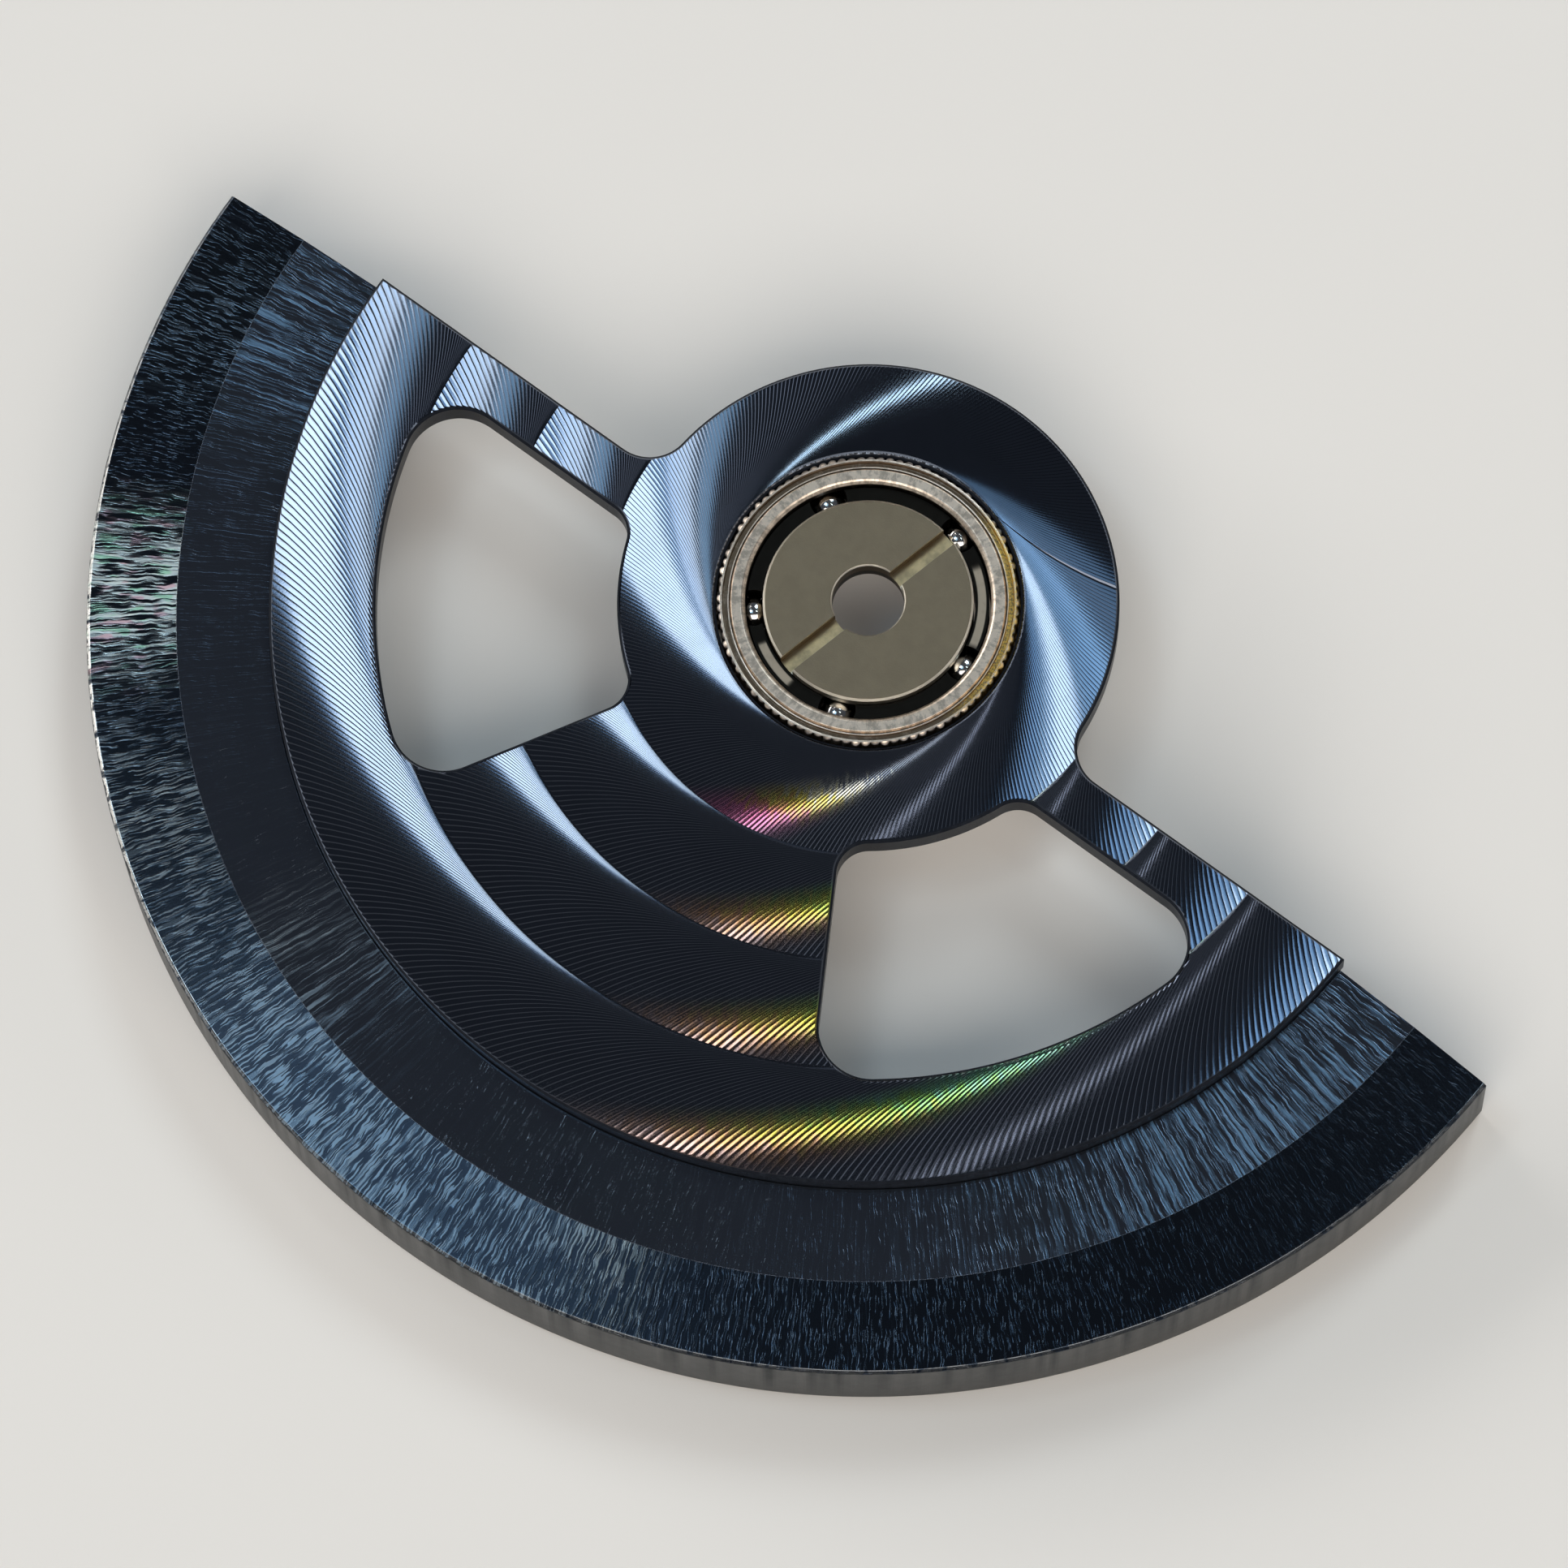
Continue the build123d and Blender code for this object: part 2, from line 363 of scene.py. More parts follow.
class Shape:
    """A mesh in millimetres, built by bmesh operators."""

    def __init__(self) -> None:
        """Start an empty mesh."""
        self.bm = bmesh.new()

    @classmethod
    def spun(cls, profile: Sequence[Point], steps: int, arc_degrees: float = 360.0,
             start_degrees: float = 0.0, round_off: float = 0.0) -> "Shape":
        """Spin a closed profile about the bearing axis.

        Args:
            profile: corners as (radius, height).
            steps: steps in the whole arc.
            arc_degrees: how far the profile is spun.
            start_degrees: where it starts, from +X.
            round_off: size of the rounding of each corner.

        Returns:
            The closed shape.
        """
        shape = cls()
        bm = shape.bm
        if round_off:
            profile = softened(profile, round_off)
        corners = [bm.verts.new((radius, 0.0, height)) for radius, height in profile]
        for first, second in zip(corners, corners[1:] + corners[:1]):
            bm.edges.new((first, second))
        turn = Matrix.Rotation(math.radians(start_degrees), 4, "Z")
        bmesh.ops.transform(bm, matrix=turn, verts=bm.verts[:])
        full = arc_degrees >= 360.0
        bmesh.ops.spin(bm, geom=bm.verts[:] + bm.edges[:], axis=(0.0, 0.0, 1.0), cent=(0.0, 0.0, 0.0),
                       dvec=(0.0, 0.0, 0.0), angle=math.radians(arc_degrees), steps=steps,
                       use_merge=full, use_duplicate=False)
        if not full:
            open_edges = [edge for edge in bm.edges if edge.is_boundary]
            bmesh.ops.holes_fill(bm, edges=open_edges, sides=0)
        return shape.outward()

    @classmethod
    def prism(cls, levels: Sequence[tuple[float, Sequence[Sequence[Point]]]]) -> "Shape":
        """Build a solid with holes from outlines at rising heights.

        Args:
            levels: (height, outlines); every level has the same outlines with as many points.

        Returns:
            The closed shape.
        """
        shape = cls()
        bm = shape.bm
        height, outlines = levels[0]
        rows = [[bm.verts.new((x, y, height)) for x, y in outline] for outline in outlines]
        edges = [bm.edges.new((a, b)) for row in rows for a, b in zip(row, row[1:] + row[:1])]
        bmesh.ops.triangle_fill(bm, edges=edges, use_beauty=True)
        for height, outlines in levels[1:]:
            heads, edges = shape.wall(edges)
            above = {}
            for head in heads:
                foot = next(e.other_vert(head) for e in head.link_edges if e.other_vert(head) not in heads)
                above[foot] = head
            rows = [[above[foot] for foot in row] for row in rows]
            for row, outline in zip(rows, outlines):
                for vert, (x, y) in zip(row, outline):
                    vert.co = (x, y, height)
        bmesh.ops.triangle_fill(bm, edges=edges, use_beauty=True)
        return shape.outward()

    def wall(
        self, edges: Sequence[bmesh.types.BMEdge]
    ) -> tuple[list[bmesh.types.BMVert], list[bmesh.types.BMEdge]]:
        """Extrude edges into a wall of no height yet.

        Args:
            edges: the edges to extrude.

        Returns:
            The new points and the new edges at its far side.
        """
        made = bmesh.ops.extrude_edge_only(self.bm, edges=edges)["geom"]
        kinds = (bmesh.types.BMVert, bmesh.types.BMEdge)
        return tuple([item for item in made if isinstance(item, kind)] for kind in kinds)

    def outward(self) -> "Shape":
        """Close doubled points and turn every face outwards.

        Returns:
            This shape.
        """
        bmesh.ops.remove_doubles(self.bm, verts=self.bm.verts[:], dist=1e-6)
        bmesh.ops.recalc_face_normals(self.bm, faces=self.bm.faces[:])
        return self

    def moved(self, matrix: Matrix) -> "Shape":
        """Transform the whole shape.

        Args:
            matrix: the transformation.

        Returns:
            This shape.
        """
        bmesh.ops.transform(self.bm, matrix=matrix, verts=self.bm.verts[:])
        return self

    def join(self, other: "Shape") -> None:
        """Add another shape's mesh beside this one's.

        Args:
            other: the other shape; it is used up.
        """
        spare = bpy.data.meshes.new("spare")
        other.bm.to_mesh(spare)
        other.bm.free()
        self.bm.from_mesh(spare)
        bpy.data.meshes.remove(spare)

    def _to_object(self, name: str) -> bpy.types.Object:
        """Turn the mesh into an object as it is, and free the bmesh.

        Args:
            name: the object's name.

        Returns:
            The linked object.
        """
        mesh = bpy.data.meshes.new(name)
        self.bm.to_mesh(mesh)
        self.bm.free()
        item = bpy.data.objects.new(name, mesh)
        bpy.context.scene.collection.objects.link(item)
        return item

    def carved(self, other: "Shape", keep: Keep = Keep.OUTSIDE, solver: Solver = Solver.EXACT) -> "Shape":
        """Cut with a second shape.

        Args:
            other: the shape to cut with; it is used up.
            keep: what is left.
            solver: how the cut is worked out.

        Returns:
            This shape.
        """
        blank, tool = self._to_object("blank"), other._to_object("tool")
        modifier = blank.modifiers.new("cut", "BOOLEAN")
        modifier.operation = keep.value
        modifier.solver = solver.value
        modifier.object = tool
        bpy.context.view_layer.update()
        evaluated = blank.evaluated_get(bpy.context.evaluated_depsgraph_get())
        self.bm = bmesh.new()
        self.bm.from_mesh(evaluated.to_mesh())
        evaluated.to_mesh_clear()
        for item in (blank, tool):
            mesh = item.data
            bpy.data.objects.remove(item)
            bpy.data.meshes.remove(mesh)
        return self

    def steep_faces(self, index: int, flattest: float) -> "Shape":
        """Mark the faces that lean.

        Args:
            index: the material index that they get.
            flattest: the upward part of a normal at which a face leans.

        Returns:
            This shape.
        """
        for face in self.bm.faces:
            face.normal_update()
            if face.normal.z < flattest:
                face.material_index = index
        return self

    def finished(self, name: str, *materials: bpy.types.Material, sharp_degrees: float = 35.0,
                 round_off: float = 0.0) -> bpy.types.Object:
        """Scale to metres, shade smooth apart from sharp edges, and dress.

        Args:
            name: the piece's name.
            materials: one material for each index that the faces use.
            sharp_degrees: edges over this angle stay sharp, and so do borders between materials.
            round_off: size of a rounding of every sharper edge, in millimetres.

        Returns:
            The finished object, at the origin.
        """
        limit = math.radians(sharp_degrees)
        for face in self.bm.faces:
            face.smooth = True
        for edge in self.bm.edges:
            faces = edge.link_faces
            border = len(faces) == 2 and faces[0].material_index != faces[1].material_index
            edge.smooth = not border and edge.calc_face_angle(math.pi) < limit
        self.moved(Matrix.Scale(METRES_PER_MM, 4))
        item = self._to_object(name)
        for material in materials:
            item.data.materials.append(material)
        if round_off:
            modifier = item.modifiers.new("round", "BEVEL")
            modifier.width = round_off * METRES_PER_MM
            modifier.segments = 2
            modifier.limit_method = "ANGLE"
            modifier.angle_limit = limit
            modifier.harden_normals = True
        LOG.info("%s: %d faces", name, len(item.data.polygons))
        return item


def softened(profile: Sequence[Point], size: float, flat_degrees: float = 170.0) -> list[Point]:
    """Round each corner of a closed profile, with a point beside it that keeps the sides flat.

    Args:
        profile: corners in order.
        size: distance from a corner at which its rounding starts, at most a fifth of a side.
        flat_degrees: angle between two sides over which their corner is hardly a turn.

    Returns:
        Five points for each corner, or three where the profile hardly turns.
    """
    points = []
    for before, corner, after in zip([profile[-1], *profile], profile, [*profile[1:], profile[0]]):
        here = Vector(corner)
        back, ahead = Vector(before) - here, Vector(after) - here
        reach = min(size, back.length / 5.0, ahead.length / 5.0)
        back, ahead = back.normalized() * reach, ahead.normalized() * reach
        if back.angle(ahead) > math.radians(flat_degrees):
            points += [here + back, here, here + ahead]
        else:
            middle = here + (back + ahead) / 4.0
            points += [here + back * 2.0, here + back, middle, here + ahead, here + ahead * 2.0]
    return [tuple(point) for point in points]


def polar_point(radius: float, angle: float) -> Point:
    """Return the point at a radius and at an angle from +X."""
    return radius * math.cos(angle), radius * math.sin(angle)


def arc_points(radius: float, start: float, end: float, count: int,
               centre: Point = (0.0, 0.0)) -> list[Point]:
    """List the points of an arc, both ends in.

    Args:
        radius: its radius.
        start: angle of the first point from +X.
        end: angle of the last point.
        count: steps between them.
        centre: its centre.

    Returns:
        The points in order.
    """
    steps = [polar_point(radius, start + (end - start) * n / count) for n in range(count + 1)]
    return [(centre[0] + x, centre[1] + y) for x, y in steps]


def stand_in(item: bpy.types.Object, node: str, body: str) -> None:
    """Let a piece stand for a node of the model.

    Args:
        item: the piece.
        node: the node that it replaces.
        body: the body that it rides on.
    """
    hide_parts(node)
    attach(item, body)


# Finishes


@dataclass(frozen=True)
class Striping:
    """Circular striping: rings of arcs, each arc tangent to its ring's inner edge.

    Places and heights give one groove's profile, as shares of the distance between two lines.
    The seam is the (ring, line) of one deeper groove.
    """

    inner_radii: tuple[float, ...] = (2.45, 4.2, 5.95, 7.7)
    lines_per_turn: tuple[int, ...] = (367, 381, 424, 482)
    wheel_radius: float = 6.0
    ring_width: float = 1.75
    places: tuple[float, ...] = (0.08, 0.353, 0.627, 0.9)
    heights: tuple[float, ...] = (-0.1968, -0.1476, -0.082, 0.0)
    least_spread: float = 0.12
    seam: tuple[int, int] = (0, 81)
    seam_depth: float = 1.9

    def sweep(self, inner: float, radius: float) -> float:
        """Find how far round an arc has come from its ring's inner edge.

        Args:
            inner: the ring's inner radius.
            radius: where on the arc.

        Returns:
            The angle in radians.
        """
        reach = inner + self.wheel_radius
        cosine = (radius**2 + reach**2 - self.wheel_radius**2) / (2.0 * radius * reach)
        return math.acos(max(-1.0, min(1.0, cosine)))

    def lean(self, inner: float, radius: float) -> float:
        """Find the angle between an arc and the radius.

        Args:
            inner: the ring's inner radius.
            radius: where on the arc.

        Returns:
            The angle in radians.
        """
        reach = inner + self.wheel_radius
        cosine = (reach**2 - radius**2 - self.wheel_radius**2) / (2.0 * radius * self.wheel_radius)
        return math.pi / 2.0 - math.acos(max(-1.0, min(1.0, cosine)))


@dataclass(frozen=True)
class CoatingFinish:
    """Blue-black coating on the striped face of the plate, with a painted rainbow highlight in the lines
    that face one lamp.
    """

    striping: Striping = field(default_factory=Striping)
    base: Colour = (0.12, 0.14, 0.18)
    roughness: float = 0.06
    # Where the painted rainbow highlight lies, by the lines' direction, and its colours across each ring
    painted_rainbow_directions: Zones = ((75.0, 14.0, 1.0),)
    painted_rainbow: Stops = (
        (0.0, (0.38, 0.45, 0.42)), (0.14, (0.18, 0.42, 0.30)), (0.34, (0.20, 0.40, 0.10)),
        (0.58, (0.42, 0.38, 0.07)), (0.8, (0.42, 0.24, 0.12)), (1.0, (0.36, 0.26, 0.24)),
    )
    hub_painted_rainbow: Stops = (
        (0.25, (0.12, 0.14, 0.18)), (0.42, (0.46, 0.47, 0.42)), (0.58, (0.50, 0.44, 0.08)),
        (0.72, (0.48, 0.22, 0.14)), (0.84, (0.46, 0.14, 0.27)), (1.0, (0.38, 0.14, 0.26)),
    )

    def build(self) -> bpy.types.Material:
        """Make the material, with the painted rainbow highlight.

        Returns:
            The material.
        """
        finish = NodeFinish("coating_striped")
        radius, angle, _ = finish.polar()
        inner = self._inner_edge(radius)
        flecks = finish.stretched(angle * 60.0, radius * 4.0, 0.0, 1.0)
        share = (radius - inner) / self.striping.ring_width + (flecks - 0.5) * 0.5
        # Painted rainbow highlight: the colours of a lamp's reflection, painted into the coating
        outer, hub = (finish.add("ShaderNodeValToRGB", {"stops": stops}, {0: share}, "Color")
                      for stops in (self.painted_rainbow, self.hub_painted_rainbow))
        painted_rainbow_colour = finish.mix(radius.over(self.striping.inner_radii[1]), hub, outer)
        smear = finish.stretched(radius * 1.8, angle * 4.5, 0.0, 3.0)
        plain = finish.mix(smear.step(0.35, 0.75) * 0.3, self.base, shaded(self.base, 0.75))
        grain = finish.noise(26.0, 3.0, 0.6)
        colour = finish.mix(self._painted_rainbow_strength(radius, angle, inner), plain, painted_rainbow_colour)
        finish.principled(base_color=colour, metallic=1.0, roughness=self.roughness + grain * 0.04,
                          normal=finish.relief(grain, 0.001, 0.15))
        return finish.material

    def _inner_edge(self, radius: Value) -> Value:
        """Find the inner edge of the ring that a point lies in.

        Args:
            radius: the point's radius.

        Returns:
            The ring's inner radius.
        """
        first, width = self.striping.inner_radii[0], self.striping.ring_width
        ring = ((radius - first) / width).function("FLOOR").function("MAXIMUM", 0.0)
        return first + ring.function("MINIMUM", len(self.striping.inner_radii) - 1.0) * width

    def _painted_rainbow_strength(self, radius: Value, angle: Value, inner: Value) -> Value:
        """Find how strong the painted rainbow highlight is.

        Args:
            radius: radius in millimetres.
            angle: angle in radians.
            inner: inner radius of the ring there.

        Returns:
            The strength, from 0 to 1.
        """
        wheel = self.striping.wheel_radius
        reach = inner + wheel
        cosine = (reach * reach - radius * radius - wheel * wheel) / (radius * (2.0 * wheel))
        lean = math.pi / 2.0 - cosine.function("MINIMUM", 1.0).function("ARCCOSINE")
        direction = (angle - lean) % math.pi
        # Painted only on the lower half, where the lines face the key lamp
        return direction.zones(self.painted_rainbow_directions) * (0.0 - angle).step(0.0, 0.1)


@dataclass(frozen=True)
class EdgeFinish:
    """Polished dark coating on the plate's chamfers, sides and underside."""

    base: Colour = (0.012, 0.014, 0.019)
    ior: float = 1.13
    roughness: float = 0.22

    def build(self) -> bpy.types.Material:
        """Make the material, with faint handling marks.

        Returns:
            The material.
        """
        finish = NodeFinish("coating_edge")
        marks = finish.noise(7.0, 4.0, 0.6)
        colour = finish.mix(marks.step(0.4, 0.8), self.base, shaded(self.base, 1.7))
        finish.principled(base_color=colour, metallic=0.0, ior=self.ior,
                          roughness=self.roughness + marks * 0.15, normal=finish.relief(marks, 0.003, 0.3))
        return finish.material


@dataclass(frozen=True)
class WeightFinish:
    """Radially brushed blue-black coating, worn off the outer edge and absent from the side, with painted
    streak highlights and a painted glint where lamps reflect, and a painted highlight on one side of the
    worn edge.
    """

    base: Colour = (0.12, 0.14, 0.18)
    rim_base: Colour = (0.022, 0.031, 0.046)
    # Colours of the streak highlights, painted where lamps reflect in the brushing
    band_streak_highlight: Colour = (0.15, 0.25, 0.37)
    rim_streak_highlight: Colour = (0.20, 0.27, 0.345)
    grey_streak_highlight: Colour = (0.28, 0.29, 0.28)
    # Colours of a painted glint
    painted_glint: Colour = (0.62, 0.68, 0.66)
    painted_rose_glint: Colour = (0.66, 0.46, 0.5)
    painted_green_glint: Colour = (0.4, 0.66, 0.5)
    # Worn edge: partly real wear, partly a painted highlight
    edge: Colour = (0.9, 0.89, 0.86)
    side: Colour = (0.042, 0.046, 0.049)
    side_marks: Colour = (0.062, 0.066, 0.068)
    roughness: float = 0.1
    relief_mm: float = 0.003
    radius: float = 12.5
    band_radius: float = 11.05
    mean_radius: float = 11.0
    rim_top: float = 1.1
    face_fade: Point = (0.9, 1.0)
    edge_break: float = 0.05
    # Angle zones of the painted streak highlights
    rim_highlight_zones: Zones = ((-168.0, 15.0, 0.4), (-127.0, 20.0, 0.4), (-97.0, 25.0, 1.0), (-76.0, 10.0, 0.6))
    band_highlight_zones: Zones = ((-169.0, 18.0, 0.7), (-108.0, 15.0, 0.65), (-15.0, 22.0, 1.0), (-36.0, 26.0, 0.4))
    grey_highlight_zones: Zones = ((-126.0, 24.0, 1.0), (-70.0, 14.0, 1.0))
    grey_band_highlight_zones: Zones = ((-108.0, 20.0, 0.45),)
    # Angle zone of the painted glint
    painted_glint_zones: Zones = ((-145.0, 10.0, 1.0),)
    # Angle zone where the worn edge carries its painted highlight
    edge_highlight_zones: Zones = ((-138.0, 34.0, 0.9),)

    def build(self) -> bpy.types.Material:
        """Make the material.

        Returns:
            The material.
        """
        finish = NodeFinish("coating_brushed")
        radius, angle, height = finish.polar()
        arc = angle * self.mean_radius
        upper = height.step(*self.face_fade)
        rim = radius.over(self.band_radius, 0.005) * upper
        band = 1.0 - rim
        sway = finish.stretched(arc * 3.0, radius * 3.0, rim * 4.0, 2.0) * 0.12
        fine = finish.stretched((arc + sway) * 33.0, radius * (1.3 + rim * 0.9), rim * 7.0, 1.0)
        coarse = finish.stretched((arc + sway * 0.5) * 15.0, radius * 0.6, 3.0 + rim * 5.0, 1.0)
        patch = finish.stretched(arc * 0.45, radius * 0.9, 9.0 + rim * 3.0, 2.0)
        # Painted highlight: brush streaks are painted bright only in the zones where lamps reflect
        lit = angle.zones(self.rim_highlight_zones) * rim + angle.zones(self.band_highlight_zones) * band
        lit = lit * upper * (patch.step(0.3, 0.5) * 0.6 + 0.4)
        lines = ((fine + lit * 0.06).step(0.55, 0.63) * (rim * 0.5 + 0.5)
                 + coarse.step(0.52, 0.64) * (0.9 - rim * 0.5))
        streaks = lines * (lit.step(0.0, 0.8) * 0.97 + 0.03)
        grey = angle.zones(self.grey_highlight_zones) + angle.zones(self.grey_band_highlight_zones) * band
        streak_highlight_colour = finish.mix(grey, finish.mix(rim, self.band_streak_highlight, self.rim_streak_highlight), self.grey_streak_highlight)
        colour = finish.mix(streaks, finish.mix(rim * 0.88, self.base, self.rim_base), streak_highlight_colour)
        hue = finish.stretched(arc * 7.0, radius * 2.0, 5.0, 1.0)
        # Painted glint: white, rose and green specks where a lamp glints on the rim
        painted_glint_colour = finish.mix(hue.step(0.34, 0.42), self.painted_rose_glint, self.painted_glint)
        painted_glint_colour = finish.mix(hue.step(0.55, 0.64), painted_glint_colour, self.painted_green_glint)
        painted_glint = angle.zones(self.painted_glint_zones) * rim * (fine.step(0.45, 0.6) + coarse.step(0.5, 0.62))
        colour = finish.mix(painted_glint * 0.9, colour, painted_glint_colour)
        chips = finish.stretched(arc * 5.0, height * 3.0, 0.0, 3.0, 0.65)
        bare, wear_and_highlight = self._wear_and_edge_highlight(chips, radius, angle, height)
        # Real wear along the edge, painted near-white as a highlight
        colour = finish.mix(wear_and_highlight, colour, self.edge)
        colour = finish.mix(bare, colour, finish.mix(chips.step(0.3, 0.7), self.side, self.side_marks))
        rough = self.roughness + bare * 0.3 + wear_and_highlight * 0.15 + painted_glint * 0.2 + streaks * 0.22 + patch * 0.04
        ground = lines * (1.0 - bare) * 0.4 + chips * bare
        finish.principled(base_color=colour, metallic=0.95, roughness=rough,
                          normal=finish.relief(ground, self.relief_mm, 1.0))
        return finish.material

    def _wear_and_edge_highlight(self, chips: Value, radius: Value, angle: Value, height: Value) -> tuple[Value, Value]:
        """Find where the coating is worn off the outer edge and the side, and where the worn edge gets a
        painted highlight.

        Args:
            chips: noise that makes the worn stretches ragged.
            radius: radius in millimetres.
            angle: angle in radians.
            height: height in millimetres.

        Returns:
            Where the metal is bare, and where the worn edge is painted bright, most strongly in one zone as
            a painted highlight.
        """
        on_edge = radius.step(self.radius - 1.4 * self.edge_break, self.radius - 1.2 * self.edge_break)
        bare = on_edge * (height - (chips - 0.45) * 0.12).under(self.rim_top - self.edge_break)
        # Painted highlight: the worn edge is brightest in one angle zone
        wear_and_highlight = on_edge * (1.0 - bare) * chips.step(0.4, 0.5) * (angle.zones(self.edge_highlight_zones) + 0.1)
        return bare, wear_and_highlight


@dataclass(frozen=True)
class TurnedFinish:
    """Turned metal: fine concentric marks, random darker clouds, an optional darker colour between two
    heights and an optional stain.
    """

    name: str
    base: Colour
    roughness: float = 0.28
    marks_mm: float = 0.004
    marks_scale: float = 30.0
    grime: float = 0.35
    darkened_heights: Point | None = None
    darkened_fade: float = 0.03
    darkened_colour: Colour = (0.03, 0.022, 0.014)
    stain: Colour | None = None
    stain_turn: float = 0.5
    stain_ring: Point = (2.33, 0.14)

    def build(self) -> bpy.types.Material:
        """Make the material.

        Returns:
            The material.
        """
        finish = NodeFinish(self.name)
        radius, angle, height = finish.polar()
        rings = finish.stretched(radius * self.marks_scale, height * self.marks_scale, angle * 0.6, 2.0)
        cloud = finish.stretched(angle * 16.0, radius * 5.0, height * 5.0, 4.0, 0.7)
        specks = finish.noise(22.0, 2.0, 0.6)
        colour = finish.mix(cloud.step(0.42, 0.62) * self.grime, self.base, shaded(self.base, 0.5))
        if self.darkened_heights:
            (low, high), fade = self.darkened_heights, self.darkened_fade
            # Darker between two heights: in the collar's groove and on the race below its top face
            sunk = height.step(high, high - fade) * height.step(low, low + fade)
            colour = finish.mix(sunk * (0.98 - cloud.step(0.5, 0.65) * 0.25), colour, self.darkened_colour)
        if self.stain:
            side = (angle - self.stain_turn).function("COSINE").step(0.6, 0.9)
            ring = radius.bump(*self.stain_ring).step(0.0, 0.5)
            colour = finish.mix(side * ring * (specks.step(0.35, 0.6) * 0.75 + 0.1), colour, self.stain)
        finish.principled(base_color=colour, metallic=1.0,
                          roughness=self.roughness + cloud * 0.12 + specks * 0.06,
                          normal=finish.relief(rings * 0.8 + specks * 0.2, self.marks_mm, 0.8))
        return finish.material


@dataclass(frozen=True)
class CageFinish:
    """Cage in painted shade, nearly black, with painted light on the tops of two prongs."""

    # Painted shade: the whole cage is made nearly black
    base: Colour = (0.022, 0.02, 0.017)
    # Painted light on the tops of two prongs
    painted_light: Colour = (0.45, 0.37, 0.285)
    lit_prongs: Zones = ((34.0, 25.0, 1.0), (-109.0, 15.0, 1.0))
    lit_radii: Point = (1.75, 1.88)
    lit_height: float = 1.43

    def build(self) -> bpy.types.Material:
        """Make the material.

        Returns:
            The material.
        """
        finish = NodeFinish("cage_painted_shade_and_light")
        radius, angle, height = finish.polar()
        cloud = finish.noise(8.0, 3.0, 0.6)
        inner, outer = self.lit_radii
        # Painted light: the tops of two prongs are made pale
        pale = (angle.zones(self.lit_prongs).step(0.0, 0.15) * radius.over(inner) * radius.under(outer)
                * height.over(self.lit_height))
        colour = finish.mix(pale * (0.75 + cloud * 0.5), self.base, self.painted_light)
        finish.principled(base_color=colour, metallic=1.0, roughness=0.26 + cloud * 0.1 + pale * 0.15,
                          normal=finish.relief(cloud, 0.003, 0.5))
        return finish.material


@dataclass(frozen=True)
class CoreFinish:
    """Fine matt grey-brown core with a brassy slot, painted shade along one wall and a painted highlight
    along the other, polished bevels painted bright as highlights, and painted shade deep inside.
    """

    base: Colour = (0.215, 0.178, 0.125)
    floor: Colour = (0.68, 0.54, 0.31)
    bevel_highlight: Colour = (0.92, 0.86, 0.74)
    shade: Colour = (0.12, 0.08, 0.045)
    deep_shade: Colour = (0.03, 0.027, 0.022)
    top: float = 1.6
    bevel_depth: float = 0.05
    slot_depth: float = 0.22
    slot_degrees: float = 76.0
    shaded_wall: Point = (0.02, 0.12)
    lit_wall: Point = (-0.08, -0.12)

    def build(self) -> bpy.types.Material:
        """Make the material.

        Returns:
            The material.
        """
        finish = NodeFinish("core_matt")
        radius, angle, height = finish.polar()
        below = self.top - height
        across = (angle - math.radians(self.slot_degrees)).function("SINE") * radius
        grain = finish.noise(38.0, 3.0, 0.7)
        cloud = finish.noise(3.5, 3.0, 0.6)
        sunk = below.step(0.03, self.slot_depth * 0.8)
        brassy = sunk * (cloud.step(0.3, 0.65) * 0.6 + 0.4)
        grey = finish.mix(cloud.step(0.3, 0.7) * 0.4, self.base, shaded(self.base, 0.8))
        # Polished bevels, with a painted highlight: their colour is made bright
        bevels = below.step(0.003, 0.008) * below.under(self.bevel_depth, 0.005)
        # Painted shade along one wall of the slot, and a painted highlight along the other
        slot = finish.mix(across.step(*self.shaded_wall) * 0.85, self.floor, self.shade)
        slot = finish.mix(across.step(*self.lit_wall), slot, self.bevel_highlight)
        colour = finish.mix(bevels * 0.9, finish.mix(brassy, grey, slot), self.bevel_highlight)
        # Painted shade deep in the slot, the hole and the socket
        deep_shade_mask = below.step(self.slot_depth + 0.03, self.slot_depth + 0.06)
        colour = finish.mix(deep_shade_mask * 0.8, colour, self.deep_shade)
        rough = 0.46 - sunk * 0.12 + grain * 0.06 - bevels * 0.2
        finish.principled(base_color=colour, metallic=1.0, roughness=rough,
                          normal=finish.relief(grain, 0.006, 0.6))
        return finish.material


@dataclass(frozen=True)
class BallFinish:
    """Polished ball steel with a thin film of oil."""

    base: Colour = (0.72, 0.71, 0.7)
    oil: Colour = (0.5, 0.42, 0.28)

    def build(self) -> bpy.types.Material:
        """Make the material.

        Returns:
            The material.
        """
        finish = NodeFinish("ball_polished")
        film = finish.noise(9.0, 3.0, 0.6)
        colour = finish.mix(film.step(0.45, 0.7) * 0.3, self.base, self.oil)
        finish.principled(base_color=colour, metallic=1.0, roughness=0.08 + film * 0.08,
                          normal=finish.relief(film, 0.001, 0.3))
        return finish.material


@dataclass(frozen=True)
class FloorFinish:
    """Plain pale matt floor."""

    base: Colour = (0.825, 0.79, 0.755)
    roughness: float = 0.9

    def build(self) -> bpy.types.Material:
        """Make the material.

        Returns:
            The material.
        """
        finish = NodeFinish("floor_pale")
        finish.principled(base_color=self.base, roughness=self.roughness)
        return finish.material


# Sub-assemblies


